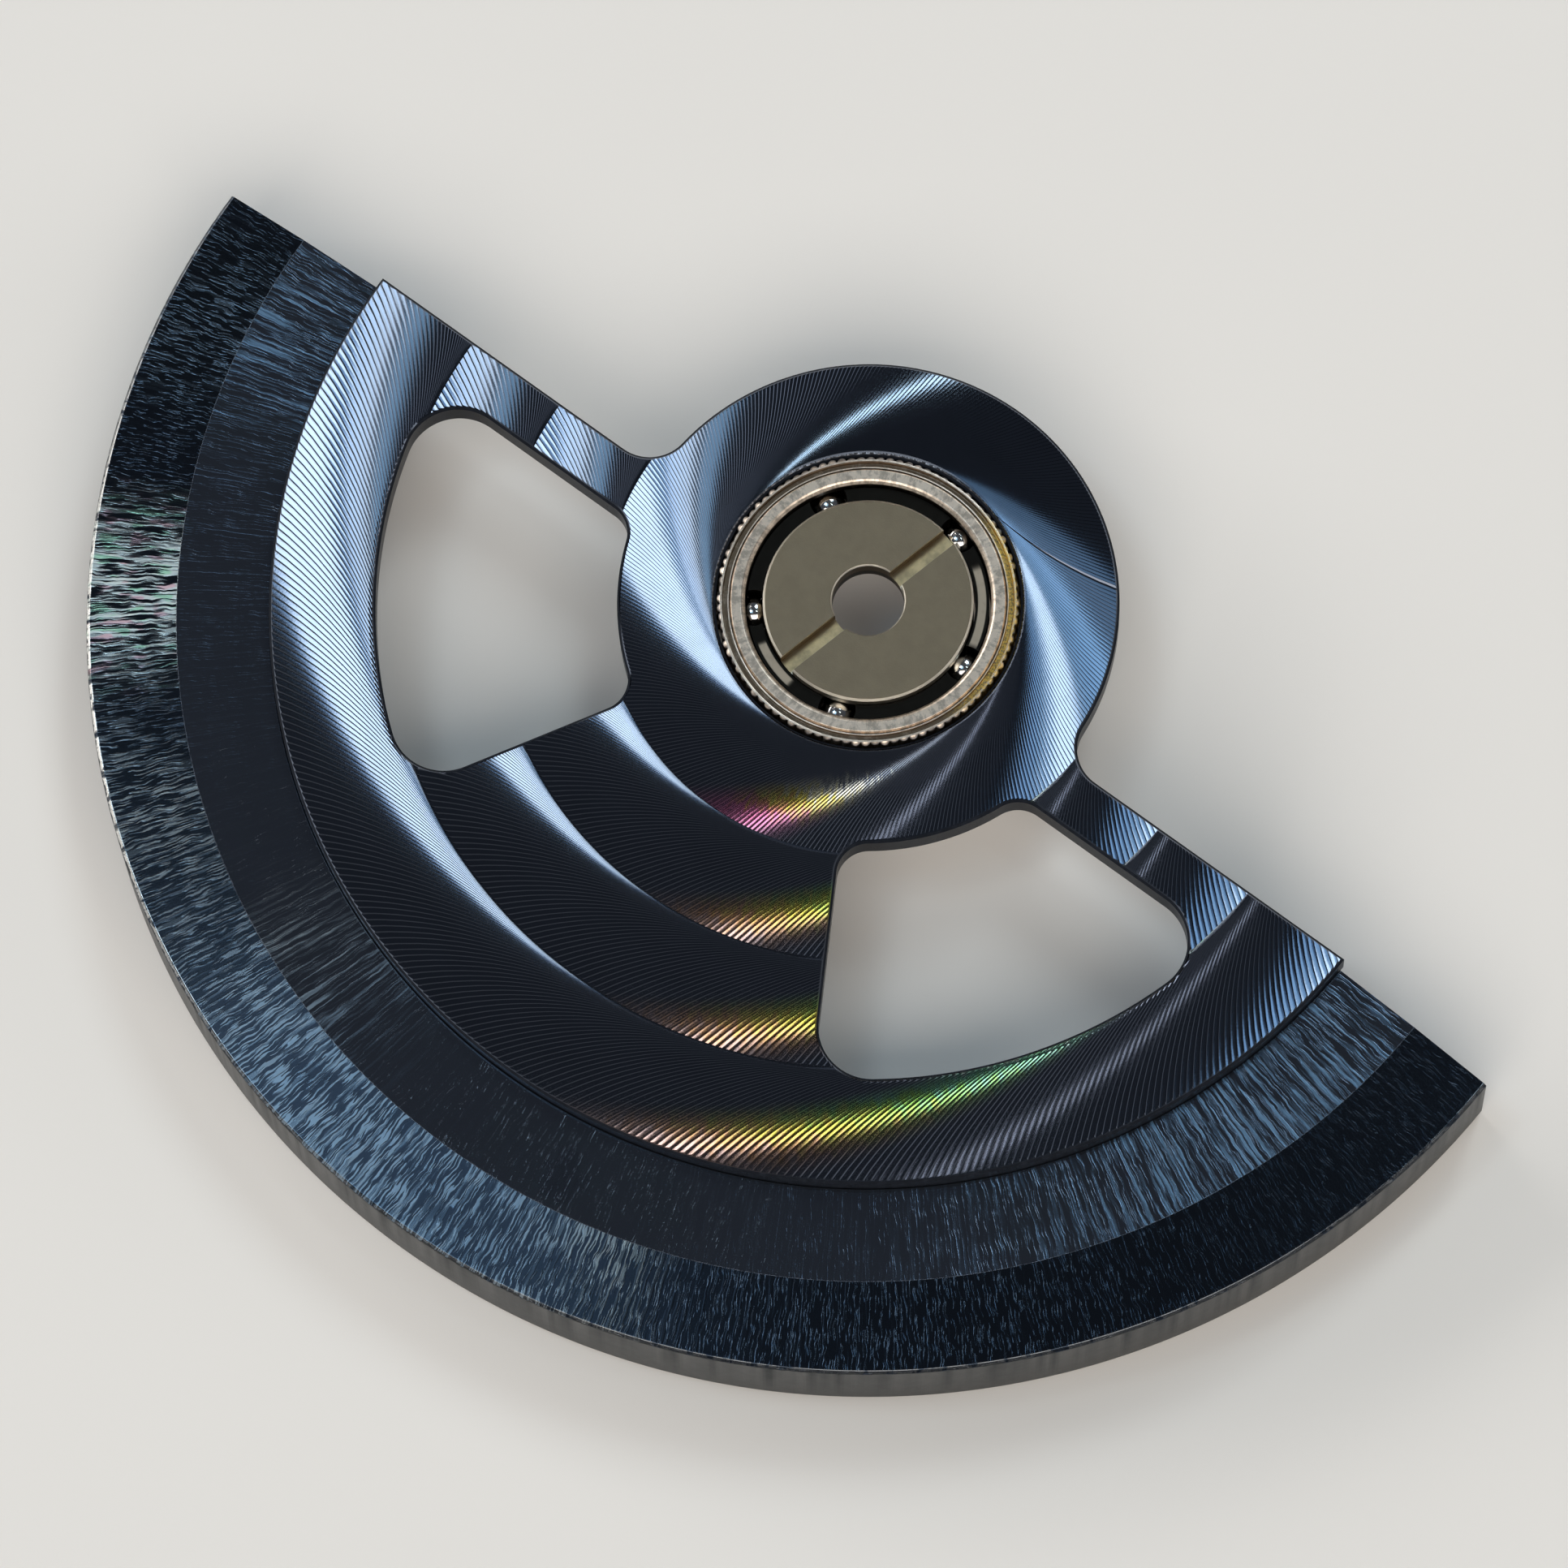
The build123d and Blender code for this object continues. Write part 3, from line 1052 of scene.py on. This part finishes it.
@dataclass
class HeavySegment:
    """The half-ring weight: a ledge under the plate, a flat band, a sloping rim and an upright side.

    The foot is how far the lower outer corner is set in, and how high it reaches.
    """

    radius: float = 12.5
    band_radius: float = 11.05
    step_radius: float = 9.56
    ledge_radius: float = 8.3
    bottom: float = -0.6
    rim_top: float = 1.1
    band_top: float = 1.22
    ledge_top: float = 1.05
    half_span_degrees: float = 87.7
    edge_break: float = 0.05
    foot: Point = (0.05, 0.1)
    rounding: float = 0.01
    nick_spread: float = 0.003
    nick_drop: float = 0.6
    steps: int = 720
    seed: int = 7

    def build(self, material: bpy.types.Material) -> None:
        """Make the weight, with small nicks along its outer top edge.

        Args:
            material: its finish.
        """
        profile = [
            (self.ledge_radius, self.bottom),
            (self.radius - self.foot[0], self.bottom),
            (self.radius, self.bottom + self.foot[1]),
            (self.radius, self.rim_top - self.edge_break),
            (self.radius - self.edge_break, self.rim_top),
            (self.band_radius, self.band_top),
            (self.step_radius, self.band_top),
            (self.step_radius, self.ledge_top),
            (self.ledge_radius, self.ledge_top),
        ]
        shape = Shape.spun(profile, self.steps, 2.0 * self.half_span_degrees,
                           -90.0 - self.half_span_degrees, self.rounding)
        dice = random.Random(self.seed)
        near_edge = self.rim_top - 1.6 * self.edge_break
        for vert in shape.bm.verts:
            if vert.co.z > near_edge and vert.co.xy.length > self.radius - 0.85 * self.edge_break:
                dent = max(0.0, dice.gauss(0.0, self.nick_spread))
                vert.co.xy *= 1.0 - dent / self.radius
                vert.co.z -= dent * self.nick_drop
        stand_in(shape.finished("weight_half_ring", material), "heavy_segment", "rotor")


@dataclass
class WebPlate:
    """The windowed plate: a chamfered body and the striped face on it, which is a skin of grooved rings.

    Window steps are those of its arcs (by the hub, by the rim). A row's place in its ring is the
    row spread times (its share of the rows, that share squared).
    """

    radius: float = 9.55
    chord_drop: float = 0.27
    arm_width: float = 0.88
    hub_radius: float = 4.0
    hub_fillet: float = 0.7
    window_radius: float = 7.85
    outer_fillet: float = 0.85
    inner_fillet: float = 0.52
    spoke_half_degrees: float = 30.3
    bore_radius: float = 2.43
    bottom: float = 1.05
    top: float = 1.55
    chamfer: float = 0.06
    face_drop: float = 0.025
    skin_depth: float = 0.032
    overshoot: float = 0.05
    trim_slack: float = 0.001
    steep_limit: float = 0.45
    striping: Striping = field(default_factory=Striping)
    rim_steps: int = 480
    hub_steps: int = 220
    bore_steps: int = 240
    fillet_steps: int = 24
    window_steps: tuple[int, int] = (50, 90)
    rows: int = 12
    row_spread: Point = (0.12, 0.88)
    spare_lines: int = 2

    def outline(self, inset: float) -> list[Point]:
        """Find the plate's outer edge.

        Args:
            inset: how far it is moved inwards.

        Returns:
            Points in order.
        """
        radius, drop = self.radius - inset, self.chord_drop + inset
        hub, fillet = self.hub_radius - inset, self.hub_fillet + inset
        across = math.sqrt((hub + fillet) ** 2 - (fillet - drop) ** 2)
        tilt = math.asin(drop / radius)
        turn = math.atan2(fillet - drop, across)
        right, left = (across, fillet - drop), (-across, fillet - drop)
        points = arc_points(radius, math.pi + tilt, FULL_TURN - tilt, self.rim_steps)
        points += arc_points(fillet, -math.pi / 2.0, -math.pi + turn, self.fillet_steps, right)
        points += arc_points(hub, turn, math.pi - turn, self.hub_steps)[1:-1]
        points += arc_points(fillet, -turn, -math.pi / 2.0, self.fillet_steps, left)
        return points

    def window(self, grow: float) -> list[Point]:
        """Find the edge of the +X window.

        Args:
            grow: how far it is moved outwards.

        Returns:
            Points in order.
        """
        round_out, round_in = self.outer_fillet + grow, self.inner_fillet + grow
        arm = self.chord_drop + self.arm_width
        spoke = math.radians(-90.0 + self.spoke_half_degrees)
        along, across = Vector(polar_point(1.0, spoke)), Vector(polar_point(1.0, spoke + math.pi / 2.0))

        def beside_arm(reach: float, fillet: float) -> Point:
            """Return the centre of a fillet that touches the arm's edge."""
            return math.sqrt(reach**2 - (arm + fillet) ** 2), -arm - fillet

        def beside_spoke(reach: float, fillet: float) -> Point:
            """Return the centre of a fillet that touches the spoke's edge."""
            return tuple(across * fillet + along * math.sqrt(reach**2 - fillet**2))

        def bearing(point: Point) -> float:
            """Return a centre's angle from +X."""
            return math.atan2(point[1], point[0])

        far = (self.window_radius - self.outer_fillet, self.outer_fillet)
        near = (self.hub_radius + self.inner_fillet, self.inner_fillet)
        far_arm, near_arm, near_spoke, far_spoke = (
            beside_arm(*far), beside_arm(*near), beside_spoke(*near), beside_spoke(*far))
        away, quarter, steps = spoke - math.pi / 2.0, math.pi / 2.0, self.fillet_steps
        few, many = self.window_steps
        points = arc_points(self.window_radius + grow, bearing(far_spoke), bearing(far_arm), many)[:-1]
        points += arc_points(round_out, bearing(far_arm), quarter, steps, far_arm)
        points += arc_points(round_in, quarter, bearing(near_arm) + math.pi, steps, near_arm)
        points += arc_points(self.hub_radius - grow, bearing(near_arm), bearing(near_spoke), few)[1:-1]
        points += arc_points(round_in, bearing(near_spoke) + math.pi, away + FULL_TURN, steps, near_spoke)
        points += arc_points(round_out, away, bearing(far_spoke), steps, far_spoke)[:-1]
        return points

    def outlines(self, inset: float) -> list[list[Point]]:
        """Find every edge of the plate's face.

        Args:
            inset: how far the material is drawn in.

        Returns:
            The outer edge, the two windows and the bore.
        """
        right = self.window(inset)
        left = [(-x, y) for x, y in right]
        bore = arc_points(self.bore_radius + inset, 0.0, FULL_TURN, self.bore_steps)[:-1]
        return [self.outline(inset), right, left, bore]

    def body(self) -> Shape:
        """Make the plate's body, chamfered at its top edges.

        Returns:
            The closed body.
        """
        return Shape.prism([
            (self.bottom, self.outlines(0.0)),
            (self.top - self.chamfer, self.outlines(0.0)),
            (self.top - self.face_drop, self.outlines(self.chamfer - self.face_drop)),
        ])

    def ring_of_lines(self, number: int) -> Shape:
        """Make one ring of the striping as a thin grooved slab.

        Args:
            number: the ring, counted from the hub.

        Returns:
            A closed slab that reaches past the plate's edges.
        """
        striping, outermost = self.striping, len(self.striping.inner_radii) - 1
        inner = striping.inner_radii[number]
        outer = inner + striping.ring_width if number < outermost else self.radius + self.overshoot
        lines = striping.lines_per_turn[number]
        pitch = FULL_TURN / lines
        if number == 0:
            first, count = 0.0, lines
        else:
            first = -math.pi - self.spare_lines * pitch
            count = math.ceil((math.pi + striping.sweep(inner, outer)) / pitch) + 2 * self.spare_lines
        parts = len(striping.places)
        columns = count * parts
        shape = Shape()
        bm = shape.bm
        bmesh.ops.create_grid(bm, x_segments=columns, y_segments=self.rows, size=0.5)
        for vert in bm.verts:
            line, part = divmod(round((vert.co.x + 0.5) * columns), parts)
            share = vert.co.y + 0.5
            radius = inner + (outer - inner) * (self.row_spread[0] * share + self.row_spread[1] * share**2)
            angle = first + (line + striping.places[part]) * pitch - striping.sweep(inner, radius)
            spacing = pitch * radius * max(striping.least_spread, math.cos(striping.lean(inner, radius)))
            deeper = striping.seam_depth if (number, line) == striping.seam else 1.0
            vert.co = (*polar_point(radius, angle), self.top + spacing * striping.heights[part] * deeper)
        bmesh.ops.remove_doubles(bm, verts=bm.verts[:], dist=1e-5)
        feet, bottom_edges = shape.wall([edge for edge in bm.edges if edge.is_boundary])
        for vert in feet:
            vert.co.z = self.top - self.skin_depth
        bmesh.ops.triangle_fill(bm, edges=bottom_edges, use_beauty=False)
        bmesh.ops.recalc_face_normals(bm, faces=bm.faces[:])
        return shape

    def face(self) -> Shape:
        """Make the striped face, trimmed to the plate's edges.

        Returns:
            The rings of lines, one shape.
        """
        face = Shape()
        rises = (-self.skin_depth * 0.9, self.overshoot)
        for number in range(len(self.striping.inner_radii)):
            frame = Shape.prism([(self.top + rise, self.outlines(self.chamfer + rise + self.trim_slack))
                                 for rise in rises])
            ring = self.ring_of_lines(number)
            before = len(ring.bm.faces)
            ring = ring.carved(frame, Keep.INSIDE, Solver.MANIFOLD)
            LOG.info("ring %d: %d faces, trimmed to %d", number, before, len(ring.bm.faces))
            face.join(ring)
        return face

    def build(self, coating: bpy.types.Material, edge: bpy.types.Material) -> None:
        """Make and dress the plate's two pieces.

        Args:
            coating: finish of the striped face.
            edge: finish of the chamfers, sides and underside.
        """
        body = self.body().finished("plate_body", edge)
        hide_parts("web_plate")
        face = self.face().steep_faces(1, self.steep_limit)
        face = face.finished("plate_striped_face", coating, edge, sharp_degrees=30.0)
        for item in (body, face):
            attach(item, "rotor")


@dataclass
class BallBearing:
    """The open ball bearing: collar, outer race, cage, balls, core and lower cone.

    Pairs of radii are (inner, outer). Points of a rim are (radius, depth under the top), from
    outside to inside. The slot's size is (length, width, depth).
    """

    top: float = 1.6
    ball_height: float = 1.1
    race_bottom: float = 0.6
    pitch_radius: float = 1.83
    ball_radius: float = 0.28
    roll_gap: float = 0.01
    first_ball_degrees: float = 3.0
    ball_count: int = 5
    sleeve: Point = (2.08, 2.5)
    sleeve_bottom: float = 0.4
    flange_radius: float = 2.68
    flange_heights: Point = (0.85, 1.05)
    collar_rim: tuple[Point, ...] = (
        (2.375, 0.03), (2.36, 0.005), (2.33, 0.005), (2.315, 0.1), (2.245, 0.1), (2.24, 0.03), (2.22, 0.03),
    )
    knurls: int = 96
    knurl_steps: int = 6
    knurl_radii: Point = (2.35, 2.42)
    knurl_reach: Point = (0.5, 1.0)
    knurl_drop: float = 0.012
    knurl_fall: float = 0.02
    race_rim: tuple[Point, ...] = ((2.21, 0.05), (2.18, 0.0), (2.03, 0.0), (2.0, 0.015), (1.96, 0.06))
    cage_ring: Point = (1.71, 1.93)
    cage_bottom: float = 0.68
    cage_drop: float = 0.15
    pocket_bottom: float = 0.8
    pocket_depth: float = 1.4
    pocket_play: float = 0.02
    stem: Point = (0.95, 1.2)
    socket_depth: float = 1.15
    core_rim: tuple[Point, ...] = ((1.68, 0.04), (1.64, 0.0), (0.605, 0.0), (0.58, 0.025))
    slot_degrees: float = 76.0
    slot_size: tuple[float, float, float] = (5.0, 0.29, 0.22)
    cone_bore: float = 1.21
    rounding: float = 0.006
    steps: int = 288
    seed: int = 11

    @property
    def neck_radius(self) -> float:
        """The radius of the inner raceway's floor."""
        return self.pitch_radius - self.ball_radius - self.roll_gap

    def ball_places(self) -> list[Point]:
        """Return where each ball's centre is."""
        turns = [self.first_ball_degrees + 360.0 * n / self.ball_count for n in range(self.ball_count)]
        return [polar_point(self.pitch_radius, math.radians(turn)) for turn in turns]

    def track(self, radius: float) -> float:
        """Return how far above the ball plane the raceway's cone lies at a radius."""
        return (self.ball_radius + self.roll_gap) / math.sqrt(0.5) - abs(radius - self.pitch_radius)

    def under_top(self, rim: Sequence[Point]) -> list[Point]:
        """Return a rim's points as (radius, height)."""
        return [(radius, self.top - depth) for radius, depth in rim]

    def collar(self, material: bpy.types.Material) -> None:
        """Make the knurled collar, with a turned groove and ragged teeth.

        Args:
            material: its finish.
        """
        (seat, sleeve), (low, high) = self.sleeve, self.flange_heights
        knurl, bore = self.collar_rim[0][0], self.collar_rim[-1][0]
        profile = [
            (seat, self.sleeve_bottom), (sleeve, self.sleeve_bottom), (sleeve, low),
            (self.flange_radius, low), (self.flange_radius, high), (knurl, high),
            *self.under_top(self.collar_rim),
            (bore, self.race_bottom), (seat, self.race_bottom),
        ]
        shape = Shape.spun(profile, self.knurls * self.knurl_steps, round_off=self.rounding)
        dice = random.Random(self.seed)
        lengths = [dice.uniform(*self.knurl_reach) for _ in range(self.knurls)]
        drops = [abs(dice.gauss(0.0, self.knurl_drop)) for _ in range(self.knurls)]
        root, tip = self.knurl_radii
        for vert in shape.bm.verts:
            radius = vert.co.xy.length
            if abs(radius - knurl) < 0.01 and vert.co.z > low:
                turn = math.atan2(vert.co.y, vert.co.x) / FULL_TURN * self.knurls
                tooth = int(math.floor(turn)) % self.knurls
                share = turn - math.floor(turn)
                bulge = math.sqrt(max(0.0, 1.0 - (2.0 * share - 1.0) ** 2)) * lengths[tooth]
                vert.co.xy *= (root + (tip - root) * bulge) / radius
                if vert.co.z > (high + self.top) / 2.0:
                    vert.co.z -= drops[tooth] + self.knurl_fall * (1.0 - bulge)
        stand_in(shape.finished("collar_knurled", material, sharp_degrees=28.0), "knurled_collar",
                 "rotor")

    def outer_race(self, material: bpy.types.Material) -> None:
        """Make the outer race, with a bevelled lip and its raceway.

        Args:
            material: its finish.
        """
        outer, inner, mid = self.race_rim[0][0], self.race_rim[-1][0], self.ball_height
        floor_radius = self.pitch_radius + self.ball_radius + self.roll_gap
        lip, floor_rise = self.track(inner), self.track(floor_radius)
        profile = [
            (inner, self.race_bottom), (outer, self.race_bottom), *self.under_top(self.race_rim),
            (inner, mid + lip), (floor_radius, mid + floor_rise),
            (floor_radius, mid - floor_rise), (inner, mid - lip),
        ]
        shape = Shape.spun(profile, self.steps, round_off=self.rounding)
        stand_in(shape.finished("race_outer", material), "outer_race", "rotor")

    def cage(self, material: bpy.types.Material) -> None:
        """Make the crown cage, a ring with a pocket for each ball.

        Args:
            material: its finish.
        """
        (inner, outer), low, high = self.cage_ring, self.cage_bottom, self.top - self.cage_drop
        ring = Shape.spun([(inner, low), (outer, low), (outer, high), (inner, high)], self.steps)
        radius, depth = self.ball_radius + self.pocket_play, self.pocket_depth
        for x, y in self.ball_places():
            pocket = Shape()
            bmesh.ops.create_cone(pocket.bm, cap_ends=True, segments=48, radius1=radius,
                                  radius2=radius, depth=depth)
            ring = ring.carved(pocket.moved(Matrix.Translation((x, y, self.pocket_bottom + depth / 2.0))))
        stand_in(ring.finished("cage_crown", material, round_off=2.0 * self.rounding), "ball_cage",
                 "cage")

    def balls(self, material: bpy.types.Material) -> None:
        """Make the balls, each on its own body.

        Args:
            material: their finish.
        """
        for number, (x, y) in enumerate(self.ball_places(), start=1):
            ball = Shape()
            bmesh.ops.create_uvsphere(ball.bm, u_segments=48, v_segments=28, radius=self.ball_radius)
            ball.moved(Matrix.Translation((x, y, self.ball_height)))
            stand_in(ball.finished(f"bearing_ball_{number}", material), f"ball_{number}",
                     f"ball_{number}")

    def core(self, material: bpy.types.Material) -> None:
        """Make the slotted core on its hollow stem.

        Args:
            material: its finish.
        """
        mid, neck, (inner, outer) = self.ball_height, self.neck_radius, self.stem
        head, hole = self.core_rim[0][0], self.core_rim[-1][0]
        profile = [
            (inner, 0.0), (outer, 0.0), (outer, mid), (neck, mid), (neck, mid + self.track(neck)),
            (head, mid + self.track(head)), *self.under_top(self.core_rim),
            (hole, self.socket_depth), (inner, self.socket_depth),
        ]
        shape = Shape.spun(profile, self.steps)
        slot = Shape()
        bmesh.ops.create_cube(slot.bm, size=1.0)
        length, width, depth = self.slot_size
        turn = Matrix.Rotation(math.radians(self.slot_degrees), 4, "Z")
        lift = Matrix.Translation((0.0, 0.0, self.top - depth + 0.5))
        shape = shape.carved(slot.moved(turn @ lift @ Matrix.Diagonal((length, width, 1.0, 1.0))))
        stand_in(shape.finished("core_slotted", material, round_off=0.01), "slotted_core",
                 "bearing_core")

    def lower_cone(self, material: bpy.types.Material) -> None:
        """Make the ring under the head, with the lower half of the inner raceway.

        Args:
            material: its finish.
        """
        bore, head, neck, mid = self.cone_bore, self.core_rim[0][0], self.neck_radius, self.ball_height
        profile = [
            (bore, self.race_bottom), (head, self.race_bottom), (head, mid - self.track(head)),
            (neck, mid - self.track(neck)), (neck, mid), (bore, mid),
        ]
        shape = Shape.spun(profile, self.steps, round_off=self.rounding)
        stand_in(shape.finished("cone_lower", material), "lower_cone", "bearing_core")


@dataclass
class DriveGear:
    """The brass wheel under the hub, its tooth given as points of (share of a step, share of its height)."""

    teeth: int = 48
    module: float = 0.12
    bore_radius: float = 2.51
    top: float = 0.85
    width: float = 0.4
    root_play: float = 0.03
    rounding: float = 0.01
    bore_steps: int = 240
    tooth: tuple[Point, ...] = (
        (-0.5, 0.0), (-0.28, 0.0), (-0.25, 0.3), (-0.19, 0.65), (-0.1, 0.92), (0.0, 1.0),
        (0.1, 0.92), (0.19, 0.65), (0.25, 0.3), (0.28, 0.0), (0.5, 0.0),
    )

    def build(self, material: bpy.types.Material) -> None:
        """Make the wheel: one tooth's edge is spun round, closed and given its width.

        Args:
            material: its finish.
        """
        pitch_radius = self.teeth * self.module / 2.0
        root, tip = pitch_radius - self.module - self.root_play, pitch_radius + self.module
        step = FULL_TURN / self.teeth
        shape = Shape()
        bm = shape.bm
        chain = []
        for turn_share, height_share in self.tooth:
            x, y = polar_point(root + (tip - root) * height_share, turn_share * step)
            chain.append(bm.verts.new((x, y, self.top)))
        for first, second in zip(chain, chain[1:]):
            bm.edges.new((first, second))
        bmesh.ops.spin(bm, geom=bm.verts[:] + bm.edges[:], axis=(0.0, 0.0, 1.0), cent=(0.0, 0.0, 0.0),
                       dvec=(0.0, 0.0, 0.0), angle=FULL_TURN - step, steps=self.teeth - 1,
                       use_merge=False, use_duplicate=True)
        bmesh.ops.remove_doubles(bm, verts=bm.verts[:], dist=1e-4)
        bmesh.ops.create_circle(bm, cap_ends=False, segments=self.bore_steps, radius=self.bore_radius,
                                matrix=Matrix.Translation((0.0, 0.0, self.top)))
        edges = bm.edges[:]
        bmesh.ops.triangle_fill(bm, edges=edges, use_beauty=True)
        feet, bottom = shape.wall(edges)
        bmesh.ops.translate(bm, verts=feet, vec=(0.0, 0.0, -self.width))
        bmesh.ops.triangle_fill(bm, edges=bottom, use_beauty=True)
        item = shape.outward().finished("gear_wheel", material, round_off=self.rounding)
        stand_in(item, "drive_gear", "rotor")


# Floor, light and camera


@dataclass(frozen=True)
class Panel:
    """A soft light panel that faces the rotor.

    The azimuth is counted from +X, the elevation from the floor, and the sizes are in metres.
    A leaning panel has its top turned by that many degrees towards a higher azimuth.
    """

    name: str
    azimuth: float
    elevation: float
    distance: float
    width: float
    height: float
    radiance: float
    colour: Colour = (1.0, 1.0, 1.0)
    lean: float = 0.0

    def hang(self) -> None:
        """Add the area light."""
        across, up = math.radians(self.azimuth), math.radians(self.elevation)
        away = Vector((math.cos(up) * math.cos(across), math.cos(up) * math.sin(across), math.sin(up)))
        light = bpy.data.lights.new(self.name, "AREA")
        light.shape = "RECTANGLE"
        light.size = self.width
        light.size_y = self.height
        light.energy = self.radiance * math.pi * self.width * self.height
        light.color = self.colour
        item = bpy.data.objects.new(self.name, light)
        item.location = away * self.distance
        turn = away.to_track_quat("Z", "Y").to_matrix() @ Matrix.Rotation(-math.radians(self.lean), 3, "Z")
        item.rotation_euler = turn.to_euler()
        bpy.context.scene.collection.objects.link(item)


@dataclass
class Studio:
    """Pale floor, light panels, dim room and the camera."""

    horizon: Colour = (1.15, 1.13, 1.1)
    ceiling: Colour = (0.06, 0.065, 0.075)
    floor_height: float = -0.0006
    floor_side: float = 3.0
    horizon_band: Point = (0.12, 0.3)
    panels: tuple[Panel, ...] = (
        Panel("window_wide", 104.6, 48.1, 0.80, 0.131, 0.258, 6.2, (0.97, 1.0, 0.93), 13.0),
        Panel("window_narrow", 91.5, 52.6, 0.80, 0.066, 0.236, 4.4, (0.9, 0.98, 1.0), 21.5),
        Panel("window_slit", 83.9, 55.7, 0.80, 0.049, 0.224, 2.0, (0.5, 0.8, 1.0), 27.0),
        Panel("window_sky", 102.2, 48.9, 0.84, 0.212, 0.244, 1.9, (0.3, 0.62, 1.0), 14.6),
        Panel("lamp_key", 154.1, 48.6, 0.80, 0.026, 0.13, 5.0, (1.0, 0.98, 0.95), -14.0),
        Panel("lamp_slim", 44.5, 71.2, 0.80, 0.022, 0.148, 11.0, (0.8, 0.97, 1.0), 46.0),
        Panel("lamp_low", 170.0, 54.1, 0.80, 0.010, 0.172, 3.6, (1.0, 0.97, 1.0), -24.1),
        Panel("lamp_broad", -156.3, 68.2, 0.80, 0.070, 0.185, 5.4, (0.95, 1.0, 0.95), -43.4),
        Panel("lamp_blue", -167.2, 63.9, 0.80, 0.034, 0.19, 0.8, (0.35, 0.62, 1.0), -38.5),
        Panel("sky_near", -153.1, 69.7, 0.84, 0.243, 0.192, 2.5, (0.45, 0.74, 1.0), -44.2),
        Panel("sky_far", -129.0, 77.2, 0.86, 0.187, 0.193, 1.1, (0.45, 0.74, 1.0), -45.3),
        Panel("ceiling_patch", -175.7, 78.4, 0.82, 0.05, 0.15, 1.1, (0.55, 0.78, 1.0)),
        Panel("wall_left", 185.0, 25.0, 0.90, 0.9, 0.32, 4.2, (1.0, 0.98, 0.95)),
        Panel("wall_right", 30.0, 22.0, 0.90, 0.8, 0.25, 1.2, (1.0, 0.98, 0.95)),
        Panel("fill_camera_side", -50.0, 48.0, 0.80, 1.0, 0.55, 2.7, (1.0, 0.95, 0.88)),
    )
    camera_place: tuple[float, float, float] = (29.3265, -36.4833, 149.3173)
    camera_right: tuple[float, float, float] = (0.799849, 0.599878, -0.019696)
    camera_up: tuple[float, float, float] = (-0.570843, 0.770452, 0.2838)
    focal_pixels: float = 12000.0

    def floor(self, material: bpy.types.Material) -> None:
        """Lay the floor under the weight.

        Args:
            material: its finish.
        """
        slab = Shape()
        side = self.floor_side / METRES_PER_MM
        bmesh.ops.create_grid(slab.bm, x_segments=1, y_segments=1, size=side / 2.0)
        slab.moved(Matrix.Translation((0.0, 0.0, self.floor_height / METRES_PER_MM)))
        slab.finished("floor", material)

    def room(self) -> None:
        """Give the world a dim ceiling and a pale horizon, paler on the window's side."""
        world = bpy.data.worlds.new("room")
        world.use_nodes = True
        bpy.context.scene.world = world
        tree = ShaderTree(world.node_tree)
        x, y, z = tree.parts(tree.add("ShaderNodeTexCoord", {}, {}, "Generated"))
        side = (y * 0.35 - x).step(-0.5, 0.7) * 0.75 + 0.25
        horizon = tree.mix(side, (0.0, 0.0, 0.0), self.horizon)
        colour = tree.mix(z.step(*self.horizon_band), horizon, self.ceiling)
        background = tree.add("ShaderNodeBackground", {}, {"Color": colour})
        tree.connect(tree.nodes.new("ShaderNodeOutputWorld").inputs["Surface"], background)

    def camera(self) -> None:
        """Set the camera where the photograph was taken from."""
        right, up = Vector(self.camera_right).normalized(), Vector(self.camera_up).normalized()
        back = right.cross(up)
        data = bpy.data.cameras.new("camera")
        data.sensor_width = 36.0
        data.lens = self.focal_pixels / IMAGE_SIDE * data.sensor_width
        data.clip_start = 0.01
        data.clip_end = 20.0
        item = bpy.data.objects.new("camera", data)
        turn = Matrix((right, up, back)).transposed().to_4x4()
        item.matrix_world = Matrix.Translation(Vector(self.camera_place) * METRES_PER_MM) @ turn
        bpy.context.scene.collection.objects.link(item)
        bpy.context.scene.camera = item

    def build(self) -> None:
        """Set up the whole studio."""
        self.floor(FloorFinish().build())
        for panel in self.panels:
            panel.hang()
        self.room()
        self.camera()
        bpy.context.scene.view_settings.view_transform = "Standard"


def main() -> None:
    """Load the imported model, build every piece in order and report it."""
    logging.basicConfig(level=logging.INFO, format="%(name)s: %(message)s")
    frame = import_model()
    LOG.info("%d nodes loaded", len(frame["nodes"]))
    HeavySegment().build(WeightFinish().build())
    WebPlate().build(CoatingFinish().build(), EdgeFinish().build())
    bearing = BallBearing()
    nickel = TurnedFinish("collar_nickel", (0.90, 0.765, 0.64), 0.26, marks_mm=0.005, grime=0.6,
                          darkened_heights=(1.1, 1.56), darkened_colour=(0.17, 0.125, 0.085),
                          stain=(0.92, 0.60, 0.13)).build()
    steel = TurnedFinish("race_steel", (0.84, 0.705, 0.58), grime=0.9, darkened_heights=(0.62, 1.54)).build()
    bearing.collar(nickel)
    bearing.outer_race(steel)
    bearing.cage(CageFinish().build())
    bearing.balls(BallFinish().build())
    bearing.core(CoreFinish().build())
    bearing.lower_cone(steel)
    DriveGear().build(TurnedFinish("gear_brass", (0.72, 0.53, 0.24), 0.3).build())
    Studio().build()


if __name__ == "__main__":
    main()
